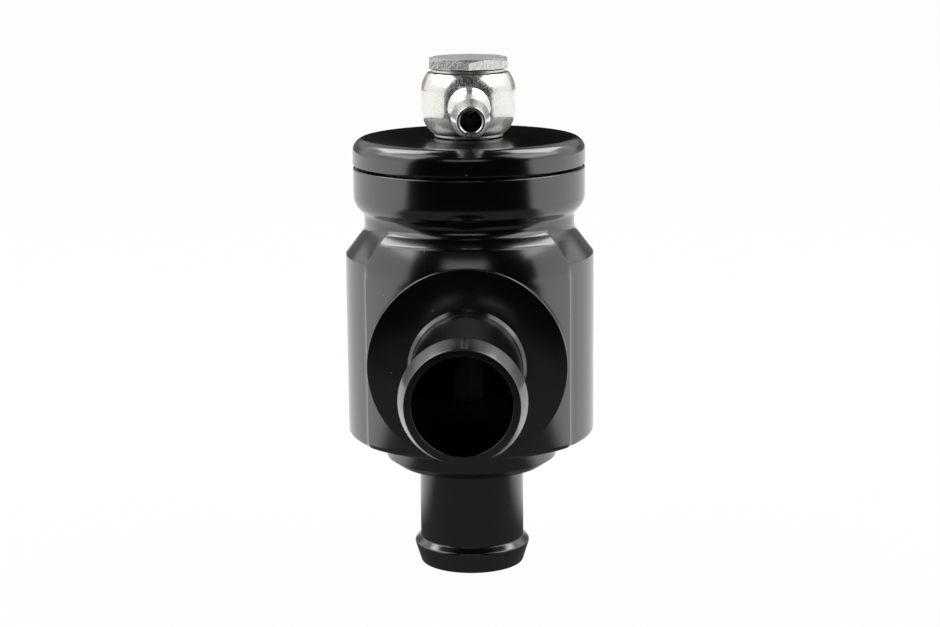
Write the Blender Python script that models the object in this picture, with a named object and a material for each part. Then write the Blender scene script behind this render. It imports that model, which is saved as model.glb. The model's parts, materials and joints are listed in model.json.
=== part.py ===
"""Blow off valve with hose barbs, a sprung piston and a swivelling banjo hose fitting.

The valve stands on the end face of its inlet barb, +Z up. Its outlet barb points towards -Y. The
origin lies on the resting plane under the middle of the overall box, and every piece hangs on an
empty on the valve's own axis. Heights are counted up from the resting plane.
"""

import math

import bmesh
import bpy

MM = 0.001

# Clearances that all fits share
SEAT_GAP = 0.2 * MM
RUNNING_FIT = 0.2 * MM
RING_GAP = 0.15 * MM

# How far a cutting tool runs past the surface that it opens
CUT_MARGIN = 1.0 * MM
MERGE_DISTANCE = 0.0005 * MM
SHARP_ANGLE = math.radians(28)

# Hose barbs, the same form on the inlet and on the outlet
HOSE_RADIUS = 12.5 * MM
HOSE_WALL = 1.7 * MM
BARB_RISE = 1.5 * MM
BARB_TIP_STEP = 0.1 * MM
BARB_LENGTH = 5.1 * MM
BARB_BACK = 1.2 * MM
BARB_TIP_ROUNDING = 0.35 * MM
BARB_CREST_ROUNDING = 0.7 * MM
BARB_ROOT_ROUNDING = 0.4 * MM
BORE_CHAMFER = 0.4 * MM

# Inlet fitting, whose seat sets the bore of the piston and with it the body's radii
INLET_REACH = 25.0 * MM
FLANGE_OVERHANG = 4.8 * MM
FLANGE_THICKNESS = 7.25 * MM
FLANGE_CHAMFER_WIDTH = 2.65 * MM
FLANGE_CHAMFER_HEIGHT = 1.9 * MM
FLANGE_FILLET = 0.8 * MM
INLET_LEDGE = 1.3 * MM
INLET_SPIGOT_LENGTH = 10.5 * MM
SEAT_RADIUS = 13.4 * MM
SEAT_MARGIN = 3.6 * MM
SEAT_LAND = 1.6 * MM
SEAT_HEIGHT = 1.0 * MM

# Body: how far its turned radii lie outside the cap's spigot, outside the neck or inside the barrel
NECK_WALL = 3.6 * MM
COLLAR_RISE = 2.5 * MM
BARREL_RISE = 5.1 * MM
CREASE_DEPTH = 2.0 * MM
CONE_DEPTH = 4.0 * MM
PANEL_DEPTH = 0.5 * MM

# Body: distances down from its top, and roundings
COLLAR_DROP = 8.5 * MM
COLLAR_ROUNDING = 4.4 * MM
WAIST_ROUNDING = 2.0 * MM
FRONT_NECK_DROP = 13.2 * MM
FRONT_NECK_ROUNDING = 2.6 * MM
CREASE_DROP = 15.6 * MM
SIDE_NECK_DROP = 14.64 * MM
SIDE_NECK_ROUNDING = 3.0 * MM
CONE_DROP = 16.1 * MM
PANEL_DROP = 20.6 * MM
FRONT_DROP = 25.0 * MM
EDGE_BREAK = 0.4 * MM

# Body: where the front ends and the side panels begin, as angles from the outlet
CREASE_EDGE = math.radians(46.8)
CREASE_BLEND_END = math.radians(75)
PANEL_EDGE = math.radians(51.6)
PANEL_BLEND_END = math.radians(57.2)

# Outlet port and fitting
PORT_RISE = 21.95 * MM
PORT_FACE_RADIUS = 22.9 * MM
PORT_FACE_DEPTH = 1.0 * MM
PORT_RELIEF_MARGIN = 0.05 * MM
PORT_WALL = 1.6 * MM
OUTLET_REACH = 37.1 * MM
OUTLET_SPIGOT_STEP = 0.3 * MM
OUTLET_COLLAR_RISE = 1.0 * MM
OUTLET_COLLAR_THICKNESS = 1.0 * MM
OUTLET_SEAL_THICKNESS = 0.8 * MM

# Cap
CAP_GROOVE = 0.6 * MM
CAP_OVERHANG = 0.05 * MM
CAP_THICKNESS = 6.2 * MM
CAP_ROUNDING = 3.0 * MM
CAP_LEDGE = 4.3 * MM
CAP_SPIGOT_LENGTH = 9.45 * MM
CAP_SPIGOT_WALL = 4.0 * MM
CAP_CROWN = 8.5 * MM
CAP_BOSS_DEPTH = 4.0 * MM

# Sealing rings: depth of their grooves and width beside them
O_RING_GROOVE_DEPTH = 1.7 * MM
O_RING_GROOVE_WIDTH = 2.2 * MM
O_RING_GROOVE_EDGE = 2.6 * MM

# Piston
PISTON_LENGTH = 33.7 * MM
PISTON_WALL = 3.0 * MM
PISTON_FLOOR = 4.0 * MM
PISTON_LIFT = 10.0 * MM
PISTON_END_CLEARANCE = 0.5 * MM
GUIDE_GROOVE_WIDTH = 3.0 * MM
GUIDE_SLIT = math.radians(6)
GROOVE_LAND = 1.1 * MM
FACE_SEAL_WIDTH = 3.6 * MM
FACE_SEAL_DEPTH = 1.6 * MM
FACE_SEAL_PROUD = 0.3 * MM

# Spring
SPRING_CLEARANCE = 6.6 * MM
SPRING_WIRE = 2.2 * MM
SPRING_TURNS = 7.5
SPRING_END_TURNS = 1.0
SPRING_PILOT_HEIGHT = 3.0 * MM
THRUST_WASHER_THICKNESS = 0.6 * MM

# Banjo bolt
BOLT_SHANK_RADIUS = 5.0 * MM
BOLT_REACH = 13.0 * MM
BOLT_AIRWAY_RADIUS = 2.3 * MM
BOLT_CROSS_HOLE_RADIUS = 1.7 * MM
BOLT_ACROSS_FLATS = 18.2 * MM
BOLT_HEAD_HEIGHT = 2.55 * MM
BOLT_HEAD_TOP_MARGIN = 0.55 * MM
BOLT_HEAD_CHAMFER = 0.8 * MM
BOLT_HEAD_TURN = math.radians(2.3)
BOLT_WASHER_FACE = 0.2 * MM
BOLT_WASHER_FACE_MARGIN = 0.6 * MM

# Banjo fitting
BANJO_HEIGHT = 14.15 * MM
BANJO_WIDEST_RISE = 7.6 * MM
BANJO_RADIUS = 11.08 * MM
BANJO_CREST = 4.4 * MM
BANJO_ROUNDING = 7.0 * MM
BANJO_GALLERY_RADIUS = 6.6 * MM
BANJO_GALLERY_HEIGHT = 6.0 * MM
BANJO_TURN = math.radians(2.4)
LOWER_WASHER_RADIUS = 8.1 * MM
LOWER_WASHER_THICKNESS = 0.6 * MM
UPPER_WASHER_RADIUS = 8.6 * MM
UPPER_WASHER_THICKNESS = 0.6 * MM

# Hose nipple on the banjo fitting
NIPPLE_RISE = 6.8 * MM
NIPPLE_TIP = 39.3 * MM
NIPPLE_BARB_LENGTH = 6.3 * MM
NIPPLE_BARB_BACK = 0.9 * MM
NIPPLE_BARB_RADIUS = 4.37 * MM
NIPPLE_TIP_RADIUS = 3.2 * MM
NIPPLE_STEM_RADIUS = 3.5 * MM
NIPPLE_ROOT_RADIUS = 4.95 * MM
NIPPLE_ROOT_END = 12.2 * MM
NIPPLE_ROOT_TAPER = 2.4 * MM
NIPPLE_ROOT_ROUNDING = 1.0 * MM
NIPPLE_EDGE_ROUNDING = 0.25 * MM
NIPPLE_BORE_RADIUS = 2.43 * MM

# Turn of one facet of a rounded corner
ARC_FACET = math.radians(24)
SMALL_ARC = 0.5 * MM

# Facets round a full turn
FINE_SEGMENTS = 48
MEDIUM_SEGMENTS = 40
COARSE_SEGMENTS = 32
SMALL_SEGMENTS = 28
HEAD_SEGMENTS = 36
WIRE_SEGMENTS = 6
SPRING_SEGMENTS = 14
HOLE_SEGMENTS = 12
NIPPLE_HOLE_SEGMENTS = 20
HEXAGON_SIDES = 6

# Columns of a quarter of the body, and levels between its crease and the foot of its front's rounding
FRONT_COLUMNS = 9
CORNER_COLUMNS = (0.15, 0.35, 0.6, 1.0)
PANEL_COLUMNS = 4
NECK_LEVELS = 4
SHOULDER_LEVELS = 5
FRONT_LEVELS = 3

# Levels of each half of the banjo ball
BALL_LEVELS = 5

# Radii that follow from the hose, the seat and the fits
HOSE_BORE_RADIUS = HOSE_RADIUS - HOSE_WALL
BARB_CREST_RADIUS = HOSE_RADIUS + BARB_RISE
BARB_TIP_RADIUS = HOSE_RADIUS - BARB_TIP_STEP
OUTLET_SPIGOT_RADIUS = HOSE_RADIUS - OUTLET_SPIGOT_STEP
OUTLET_COLLAR_RADIUS = HOSE_RADIUS + OUTLET_COLLAR_RISE
PISTON_BORE_RADIUS = SEAT_RADIUS + SEAT_MARGIN
PISTON_RADIUS = PISTON_BORE_RADIUS - RUNNING_FIT
INLET_SPIGOT_RADIUS = PISTON_BORE_RADIUS - INLET_LEDGE
FLANGE_RADIUS = INLET_SPIGOT_RADIUS + FLANGE_OVERHANG
CAP_SPIGOT_RADIUS = PISTON_BORE_RADIUS + CAP_LEDGE
NECK_RADIUS = CAP_SPIGOT_RADIUS + NECK_WALL
COLLAR_RADIUS = NECK_RADIUS + COLLAR_RISE
CAP_RADIUS = COLLAR_RADIUS + CAP_OVERHANG
BODY_RADIUS = NECK_RADIUS + BARREL_RISE
PANEL_RADIUS = BODY_RADIUS - PANEL_DEPTH
CREASE_RADIUS = BODY_RADIUS - CREASE_DEPTH
CONE_RADIUS = BODY_RADIUS - CONE_DEPTH
BOLT_HOLE_RADIUS = BOLT_SHANK_RADIUS + RUNNING_FIT
SPRING_RADIUS = PISTON_BORE_RADIUS - SPRING_CLEARANCE
SPRING_PILOT_RADIUS = SPRING_RADIUS - SPRING_WIRE / 2 - RUNNING_FIT

# Heights above the resting plane, stacked from the inlet barb upwards
FLANGE_BOTTOM = INLET_REACH
FLANGE_TOP = FLANGE_BOTTOM + FLANGE_THICKNESS
BODY_BOTTOM = FLANGE_TOP + SEAT_GAP
PORT_HEIGHT = BODY_BOTTOM + PORT_RISE
SEAT_TOP = FLANGE_TOP + INLET_SPIGOT_LENGTH
FACE_SEAL_BOTTOM = SEAT_TOP + SEAT_GAP
PISTON_BOTTOM = FACE_SEAL_BOTTOM + FACE_SEAL_PROUD
PISTON_TOP = PISTON_BOTTOM + PISTON_LENGTH
CAP_SPIGOT_BOTTOM = PISTON_TOP + PISTON_LIFT + PISTON_END_CLEARANCE
BODY_TOP = CAP_SPIGOT_BOTTOM + CAP_SPIGOT_LENGTH
BODY_HEIGHT = BODY_TOP - BODY_BOTTOM
CAP_BOTTOM = BODY_TOP + CAP_GROOVE
CAP_TOP = CAP_BOTTOM + CAP_THICKNESS
CROWN_BOTTOM = CAP_TOP - CAP_CROWN
LOWER_WASHER_BOTTOM = CAP_TOP + SEAT_GAP
BANJO_BOTTOM = LOWER_WASHER_BOTTOM + LOWER_WASHER_THICKNESS + SEAT_GAP
BANJO_WIDEST = BANJO_BOTTOM + BANJO_WIDEST_RISE
NIPPLE_AXIS = BANJO_BOTTOM + NIPPLE_RISE
BANJO_TOP = BANJO_BOTTOM + BANJO_HEIGHT
UPPER_WASHER_BOTTOM = BANJO_TOP + SEAT_GAP
BOLT_HEAD_BOTTOM = UPPER_WASHER_BOTTOM + UPPER_WASHER_THICKNESS + SEAT_GAP
BOLT_BOTTOM = CAP_TOP - BOLT_REACH

# Distances from the valve's axis along the outlet
PORT_FACE_DISTANCE = BODY_RADIUS - PORT_FACE_DEPTH
OUTLET_END = PORT_FACE_DISTANCE + OUTLET_REACH
PORT_FLOOR = PISTON_BORE_RADIUS + PORT_WALL
OUTLET_SEAL_START = PORT_FLOOR + SEAT_GAP
OUTLET_SPIGOT_START = OUTLET_SEAL_START + OUTLET_SEAL_THICKNESS + SEAT_GAP

# Place of the valve's axis behind the middle of the overall box
AXIS_Y = (OUTLET_END - BODY_RADIUS) / 2


def clear_scene():
    for thing in list(bpy.data.objects):
        bpy.data.objects.remove(thing, do_unlink=True)


def material(name, colour, metallic, roughness):
    finish = bpy.data.materials.new(name)
    finish.use_nodes = True
    shader = finish.node_tree.nodes["Principled BSDF"]
    shader.inputs["Base Color"].default_value = (*colour, 1.0)
    shader.inputs["Metallic"].default_value = metallic
    shader.inputs["Roughness"].default_value = roughness
    return finish


def rounded(corners):
    """An outline of (radius, height) points; a third value in a point rounds that corner."""
    outline = []
    for index, corner in enumerate(corners):
        if len(corner) == 2:
            outline.append(corner)
            continue
        before = corners[index - 1]
        after = corners[(index + 1) % len(corners)]
        outline.extend(arc_at(before, corner, after))
    return outline


def arc_at(before, corner, after):
    """The points of the arc that rounds one corner, by its size: small ones have a single facet."""
    x, y, radius = corner
    towards = [unit(before[0] - x, before[1] - y), unit(after[0] - x, after[1] - y)]
    along = towards[0][0] * towards[1][0] + towards[0][1] * towards[1][1]
    opening = math.acos(max(-1.0, min(1.0, along)))
    reach = radius / math.tan(opening / 2)
    middle = unit(towards[0][0] + towards[1][0], towards[0][1] + towards[1][1])
    centre_distance = radius / math.sin(opening / 2)
    centre = (x + middle[0] * centre_distance, y + middle[1] * centre_distance)
    first = (x + towards[0][0] * reach, y + towards[0][1] * reach)
    start = math.atan2(first[1] - centre[1], first[0] - centre[0])
    cross = towards[0][0] * towards[1][1] - towards[0][1] * towards[1][0]
    turn = (math.pi - opening) * (-1 if cross > 0 else 1)
    facet = ARC_FACET if radius > SMALL_ARC else 2 * ARC_FACET
    steps = max(1, round(abs(turn) / facet))
    arc = []
    for step in range(steps + 1):
        angle = start + turn * step / steps
        arc.append((centre[0] + radius * math.cos(angle), centre[1] + radius * math.sin(angle)))
    return arc


def unit(x, y):
    length = math.hypot(x, y)
    return (x / length, y / length)


def finished(name, mesh_builder, parent, finish):
    """Turns a bmesh into a named, shaded object under its parent."""
    bmesh.ops.remove_doubles(mesh_builder, verts=mesh_builder.verts, dist=MERGE_DISTANCE)
    bmesh.ops.recalc_face_normals(mesh_builder, faces=mesh_builder.faces)
    mesh = bpy.data.meshes.new(name)
    mesh_builder.to_mesh(mesh)
    mesh_builder.free()
    mesh.shade_smooth()
    mesh.set_sharp_from_angle(angle=SHARP_ANGLE)
    thing = bpy.data.objects.new(name, mesh)
    if finish:
        mesh.materials.append(finish)
    thing.parent = parent
    bpy.context.collection.objects.link(thing)
    return thing


def turned(name, corners, segments, parent, finish=None, turn=2 * math.pi):
    """A solid of revolution about Z from an outline in (radius, height)."""
    outline = rounded(corners)
    builder = bmesh.new()
    points = [builder.verts.new((radius, 0.0, height)) for radius, height in outline]
    whole = math.isclose(turn, 2 * math.pi)
    on_axis = outline[0][0] == 0.0 and outline[-1][0] == 0.0
    pairs = list(zip(points, points[1:]))
    if not on_axis:
        pairs.append((points[-1], points[0]))
    edges = [builder.edges.new(pair) for pair in pairs]
    section = [] if whole else [builder.faces.new(points)]
    bmesh.ops.spin(
        builder,
        geom=points + edges + section,
        cent=(0.0, 0.0, 0.0),
        axis=(0.0, 0.0, 1.0),
        dvec=(0.0, 0.0, 0.0),
        angle=turn,
        steps=segments,
        use_merge=whole,
        use_duplicate=False,
    )
    if not whole:
        close_slit(builder)
    return finished(name, builder, parent, finish)


def close_slit(builder):
    """Puts the end face back where an open turn started; the spin carries its own face along."""
    open_edges = [edge for edge in builder.edges if len(edge.link_faces) < 2]
    bmesh.ops.holes_fill(builder, edges=open_edges, sides=0)


def ring(name, radius, thickness, height, parent, finish):
    """An O-ring: a circle of wire turned about Z."""
    wire = []
    for side in range(WIRE_SEGMENTS):
        angle = 2 * math.pi * (side + 0.5) / WIRE_SEGMENTS
        wire.append((radius + thickness / 2 * math.cos(angle), height + thickness / 2 * math.sin(angle)))
    return turned(name, wire, SMALL_SEGMENTS, parent, finish)


def flat_ring(name, inner, outer, bottom, top, parent, finish, segments=SMALL_SEGMENTS):
    outline = [(inner, bottom), (outer, bottom), (outer, top), (inner, top)]
    return turned(name, outline, segments, parent, finish)


def combine(target, tool, operation):
    """Joins a guide to a solid or cuts it from it, and keeps the guide out of the model."""
    modifier = target.modifiers.new(f"{operation.lower()}_{tool.name}", "BOOLEAN")
    modifier.operation = operation
    modifier.object = tool
    modifier.solver = "EXACT"
    tool.hide_render = True
    tool.display_type = "WIRE"


def point_at_minus_y(thing, height, swing=0.0):
    """Lays a turned piece down, its own Z pointing out along the valve's -Y."""
    thing.rotation_euler = (math.radians(90), 0.0, swing)
    thing.location = (0.0, 0.0, height)


def hose_barb(end, direction):
    """The outside and the mouth of a hose barb whose end face is at the given distance."""
    def at(distance):
        return end - direction * distance

    return [
        (HOSE_BORE_RADIUS, at(BORE_CHAMFER)),
        (HOSE_BORE_RADIUS + BORE_CHAMFER, at(0.0)),
        (BARB_TIP_RADIUS, at(0.0), BARB_TIP_ROUNDING),
        (BARB_CREST_RADIUS, at(BARB_LENGTH), BARB_CREST_ROUNDING),
        (HOSE_RADIUS, at(BARB_LENGTH + BARB_BACK), BARB_ROOT_ROUNDING),
    ]


def make_inlet_fitting(axis, finish):
    """Barb, flange, spigot and valve seat, turned in one piece."""
    groove_bottom = FLANGE_TOP + O_RING_GROOVE_EDGE
    groove_top = groove_bottom + O_RING_GROOVE_WIDTH
    groove_floor = INLET_SPIGOT_RADIUS + RUNNING_FIT - O_RING_GROOVE_DEPTH
    seat_inner = SEAT_RADIUS - SEAT_LAND / 2
    seat_outer = SEAT_RADIUS + SEAT_LAND / 2
    mouth_depth = abs(seat_inner - HOSE_BORE_RADIUS)
    outline = hose_barb(0.0, -1.0)
    outline += [
        (HOSE_RADIUS, FLANGE_BOTTOM, FLANGE_FILLET),
        (FLANGE_RADIUS - FLANGE_CHAMFER_WIDTH, FLANGE_BOTTOM),
        (FLANGE_RADIUS, FLANGE_BOTTOM + FLANGE_CHAMFER_HEIGHT),
        (FLANGE_RADIUS, FLANGE_TOP),
        (INLET_SPIGOT_RADIUS, FLANGE_TOP),
        (INLET_SPIGOT_RADIUS, groove_bottom),
        (groove_floor, groove_bottom),
        (groove_floor, groove_top),
        (INLET_SPIGOT_RADIUS, groove_top),
        (INLET_SPIGOT_RADIUS, SEAT_TOP - SEAT_HEIGHT),
        (seat_outer, SEAT_TOP - SEAT_HEIGHT),
        (seat_outer, SEAT_TOP),
        (seat_inner, SEAT_TOP),
        (HOSE_BORE_RADIUS, SEAT_TOP - mouth_depth),
    ]
    turned("inlet_fitting", outline, MEDIUM_SEGMENTS, axis, finish)


def make_inlet_o_ring(axis, finish):
    bore = INLET_SPIGOT_RADIUS + RUNNING_FIT
    middle = FLANGE_TOP + O_RING_GROOVE_EDGE + O_RING_GROOVE_WIDTH / 2
    ring(
        "inlet_o_ring",
        bore - O_RING_GROOVE_DEPTH / 2,
        O_RING_GROOVE_DEPTH - 2 * RING_GAP,
        middle,
        axis,
        finish,
    )


def outline_radius(outline, drop):
    """The radius of an outline of (radius, drop) points at one drop."""
    for (radius, upper), (next_radius, lower) in zip(outline, outline[1:]):
        if upper <= drop <= lower:
            return radius + (next_radius - radius) * (drop - upper) / (lower - upper)
    return outline[-1][0]


def neck_outline(neck_drop, neck_rounding, end):
    """The neck between the collar's slope and the form below it, as radius and drop."""
    slope_end = COLLAR_DROP + COLLAR_RADIUS - NECK_RADIUS
    points = rounded([
        (COLLAR_RADIUS, COLLAR_DROP),
        (NECK_RADIUS, slope_end, WAIST_ROUNDING),
        (NECK_RADIUS, neck_drop, neck_rounding),
        end,
    ])
    return points


def front_outline():
    """The front: the barrel's upper end rolls off to the crease above it."""
    roll = FRONT_DROP - CREASE_DROP
    outline = neck_outline(FRONT_NECK_DROP, FRONT_NECK_ROUNDING, (CREASE_RADIUS, CREASE_DROP))
    steps = SHOULDER_LEVELS + FRONT_LEVELS
    for step in range(1, steps + 1):
        above = 1.0 - step / steps
        outline.append((BODY_RADIUS - CREASE_DEPTH * above ** 2, FRONT_DROP - roll * above))
    return outline


def side_outline():
    """The sides: a cone that ends at the panels' top edge."""
    outline = neck_outline(SIDE_NECK_DROP, SIDE_NECK_ROUNDING, (CONE_RADIUS, CONE_DROP))
    outline.append((PANEL_RADIUS, PANEL_DROP))
    return outline


def body_columns(drop):
    """Angle from the outlet and share of the front's form for each column of a quarter at one level."""
    lowered = min(1.0, max(0.0, (drop - CREASE_DROP) / (PANEL_DROP - CREASE_DROP)))
    edge = CREASE_EDGE + (PANEL_EDGE - CREASE_EDGE) * lowered
    blend_end = CREASE_BLEND_END + (PANEL_BLEND_END - CREASE_BLEND_END) * lowered
    columns = [(edge * column / FRONT_COLUMNS, 1.0) for column in range(FRONT_COLUMNS + 1)]
    for share in CORNER_COLUMNS:
        columns.append((edge + (blend_end - edge) * share, (1.0 - share) ** 3))
    side = math.pi / 2
    for column in range(1, PANEL_COLUMNS + 1):
        columns.append((blend_end + (side - blend_end) * column / PANEL_COLUMNS, 0.0))
    return columns


def body_blank(axis, finish):
    """The outside of the body as one loft of closed rings, from the collar down to the bottom edge."""
    slope_end = COLLAR_DROP + COLLAR_RADIUS - NECK_RADIUS
    collar = rounded([
        (COLLAR_RADIUS - EDGE_BREAK, 0.0),
        (COLLAR_RADIUS, EDGE_BREAK),
        (COLLAR_RADIUS, COLLAR_DROP, COLLAR_ROUNDING),
        (NECK_RADIUS, slope_end, WAIST_ROUNDING),
        (NECK_RADIUS, FRONT_NECK_DROP - FRONT_NECK_ROUNDING / 2),
    ])
    front = front_outline()
    side = side_outline()
    neck_start = collar[-1][1]
    drops = [neck_start + (CREASE_DROP - neck_start) * level / NECK_LEVELS for level in range(1, NECK_LEVELS)]
    drops.append(CREASE_DROP)
    for level in range(1, SHOULDER_LEVELS + 1):
        drops.append(CREASE_DROP + (PANEL_DROP - CREASE_DROP) * level / SHOULDER_LEVELS)
    for level in range(1, FRONT_LEVELS + 1):
        drops.append(PANEL_DROP + (FRONT_DROP - PANEL_DROP) * level / FRONT_LEVELS)
    drops.append(BODY_HEIGHT - EDGE_BREAK)
    builder = bmesh.new()
    levels = [body_ring(builder, drop, radius, radius, 0.0) for radius, drop in collar]
    for drop in drops:
        levels.append(body_ring(builder, drop, outline_radius(front, drop), outline_radius(side, drop), 0.0))
    levels.append(body_ring(builder, BODY_HEIGHT, BODY_RADIUS, PANEL_RADIUS, EDGE_BREAK))
    for upper, lower in zip(levels, levels[1:]):
        for index, point in enumerate(upper):
            following = (index + 1) % len(upper)
            builder.faces.new((point, lower[index], lower[following], upper[following]))
    builder.faces.new(levels[0])
    builder.faces.new(levels[-1])
    return finished("valve_body", builder, axis, finish)


def body_ring(builder, drop, front, side, inward):
    """One closed level of the body: the quarter's columns, mirrored to the back and to the other side."""
    height = BODY_TOP - drop
    quarter = [(angle, side + share * (front - side) - inward) for angle, share in body_columns(drop)]
    half = quarter + [(math.pi - angle, radius) for angle, radius in reversed(quarter[:-1])]
    around = half + [(2 * math.pi - angle, radius) for angle, radius in reversed(half[1:-1])]
    return [
        builder.verts.new((radius * math.sin(angle), -radius * math.cos(angle), height))
        for angle, radius in around
    ]


def make_body(axis, finish):
    """The billet body: blank, round port face, bores for the piston, the cap, the inlet and the outlet."""
    body = body_blank(axis, finish)
    beyond = BODY_RADIUS + 5 * CUT_MARGIN
    face_back = PORT_FACE_DISTANCE - EDGE_BREAK
    relief_radius = PORT_FACE_RADIUS + PORT_RELIEF_MARGIN
    relief = turned(
        "port_face_relief",
        [(0.0, face_back), (relief_radius, face_back), (relief_radius, beyond), (0.0, beyond)],
        FINE_SEGMENTS,
        axis,
    )
    point_at_minus_y(relief, PORT_HEIGHT)
    combine(body, relief, "DIFFERENCE")
    combine(body, port_boss(axis), "UNION")

    bore_top = BODY_TOP + CUT_MARGIN
    spigot_bore = CAP_SPIGOT_RADIUS + RUNNING_FIT
    inlet_bore = INLET_SPIGOT_RADIUS + RUNNING_FIT
    counterbore_floor = CAP_SPIGOT_BOTTOM - SEAT_GAP
    bore_bottom = BODY_BOTTOM - CUT_MARGIN
    ledge = SEAT_TOP - SEAT_HEIGHT - SEAT_GAP
    bore = turned(
        "long_bore",
        [
            (0.0, bore_bottom),
            (inlet_bore, bore_bottom),
            (inlet_bore, ledge),
            (PISTON_BORE_RADIUS, ledge + PISTON_BORE_RADIUS - inlet_bore),
            (PISTON_BORE_RADIUS, counterbore_floor),
            (spigot_bore, counterbore_floor),
            (spigot_bore, bore_top),
            (0.0, bore_top),
        ],
        FINE_SEGMENTS,
        axis,
    )
    combine(body, bore, "DIFFERENCE")

    port_radius = OUTLET_SPIGOT_RADIUS + RUNNING_FIT
    port = turned(
        "outlet_port",
        [
            (0.0, PISTON_BORE_RADIUS / 2),
            (HOSE_BORE_RADIUS, PISTON_BORE_RADIUS / 2),
            (HOSE_BORE_RADIUS, PORT_FLOOR),
            (port_radius, PORT_FLOOR),
            (port_radius, beyond),
            (0.0, beyond),
        ],
        MEDIUM_SEGMENTS,
        axis,
    )
    point_at_minus_y(port, PORT_HEIGHT)
    combine(body, port, "DIFFERENCE")


def port_boss(axis):
    """The round port face stands out of the barrel, its lowest part cut level with the body's bottom."""
    builder = bmesh.new()
    lowest = BODY_BOTTOM + EDGE_BREAK
    rings = []
    for distance, radius, floor in (
        (PORT_FACE_DISTANCE / 2, PORT_FACE_RADIUS, lowest),
        (PORT_FACE_DISTANCE - EDGE_BREAK, PORT_FACE_RADIUS, lowest),
        (PORT_FACE_DISTANCE, PORT_FACE_RADIUS - EDGE_BREAK, lowest + EDGE_BREAK),
    ):
        level = []
        for step in range(FINE_SEGMENTS):
            angle = 2 * math.pi * step / FINE_SEGMENTS
            height = PORT_HEIGHT + radius * math.cos(angle)
            level.append(builder.verts.new((radius * math.sin(angle), -distance, max(floor, height))))
        rings.append(level)
    for back, front in zip(rings, rings[1:]):
        for index, point in enumerate(back):
            following = (index + 1) % FINE_SEGMENTS
            builder.faces.new((point, back[following], front[following], front[index]))
    builder.faces.new(rings[0])
    builder.faces.new(rings[-1])
    return finished("port_boss", builder, axis, None)


def make_outlet_fitting(axis, finish):
    collar_start = PORT_FACE_DISTANCE + SEAT_GAP
    collar_end = collar_start + OUTLET_COLLAR_THICKNESS
    outline = hose_barb(OUTLET_END, 1.0)
    outline += [
        (HOSE_RADIUS, collar_end, BARB_ROOT_ROUNDING),
        (OUTLET_COLLAR_RADIUS - EDGE_BREAK, collar_end),
        (OUTLET_COLLAR_RADIUS, collar_end - EDGE_BREAK),
        (OUTLET_COLLAR_RADIUS, collar_start),
        (OUTLET_SPIGOT_RADIUS, collar_start),
        (OUTLET_SPIGOT_RADIUS, OUTLET_SPIGOT_START),
        (HOSE_BORE_RADIUS, OUTLET_SPIGOT_START),
    ]
    fitting = turned("outlet_fitting", outline, MEDIUM_SEGMENTS, axis, finish)
    point_at_minus_y(fitting, PORT_HEIGHT)


def make_outlet_seal(axis, finish):
    seal = flat_ring(
        "outlet_seal",
        HOSE_BORE_RADIUS + RING_GAP,
        OUTLET_SPIGOT_RADIUS,
        OUTLET_SEAL_START,
        OUTLET_SEAL_START + OUTLET_SEAL_THICKNESS,
        axis,
        finish,
    )
    point_at_minus_y(seal, PORT_HEIGHT)


def make_cap(axis, finish):
    """Cap with a spigot that screws into the body and a boss that takes the banjo bolt."""
    groove_top = CAP_BOTTOM - O_RING_GROOVE_EDGE
    groove_bottom = groove_top - O_RING_GROOVE_WIDTH
    groove_floor = CAP_SPIGOT_RADIUS + RUNNING_FIT - O_RING_GROOVE_DEPTH
    pocket_radius = CAP_SPIGOT_RADIUS - CAP_SPIGOT_WALL
    boss_bottom = CROWN_BOTTOM - CAP_BOSS_DEPTH
    outline = [
        (CAP_SPIGOT_RADIUS, CAP_BOTTOM),
        (CAP_RADIUS - EDGE_BREAK, CAP_BOTTOM),
        (CAP_RADIUS, CAP_BOTTOM + EDGE_BREAK),
        (CAP_RADIUS, CAP_TOP, CAP_ROUNDING),
        (BOLT_HOLE_RADIUS, CAP_TOP),
        (BOLT_HOLE_RADIUS, boss_bottom),
        (SPRING_PILOT_RADIUS, boss_bottom),
        (SPRING_PILOT_RADIUS, CROWN_BOTTOM),
        (pocket_radius, CROWN_BOTTOM),
        (pocket_radius, CAP_SPIGOT_BOTTOM),
        (CAP_SPIGOT_RADIUS, CAP_SPIGOT_BOTTOM),
        (CAP_SPIGOT_RADIUS, groove_bottom),
        (groove_floor, groove_bottom),
        (groove_floor, groove_top),
        (CAP_SPIGOT_RADIUS, groove_top),
    ]
    turned("cap", outline, FINE_SEGMENTS, axis, finish)


def make_cap_o_ring(axis, finish):
    bore = CAP_SPIGOT_RADIUS + RUNNING_FIT
    ring(
        "cap_o_ring",
        bore - O_RING_GROOVE_DEPTH / 2,
        O_RING_GROOVE_DEPTH - 2 * RING_GAP,
        CAP_BOTTOM - O_RING_GROOVE_EDGE - O_RING_GROOVE_WIDTH / 2,
        axis,
        finish,
    )


def piston_grooves():
    """Bottom and top of the upper guide groove, the seal groove and the lower guide groove."""
    grooves = []
    top = PISTON_TOP - GROOVE_LAND
    for width in (GUIDE_GROOVE_WIDTH, O_RING_GROOVE_WIDTH, GUIDE_GROOVE_WIDTH):
        grooves.append((top - width, top))
        top -= width + GROOVE_LAND
    return grooves


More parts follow.
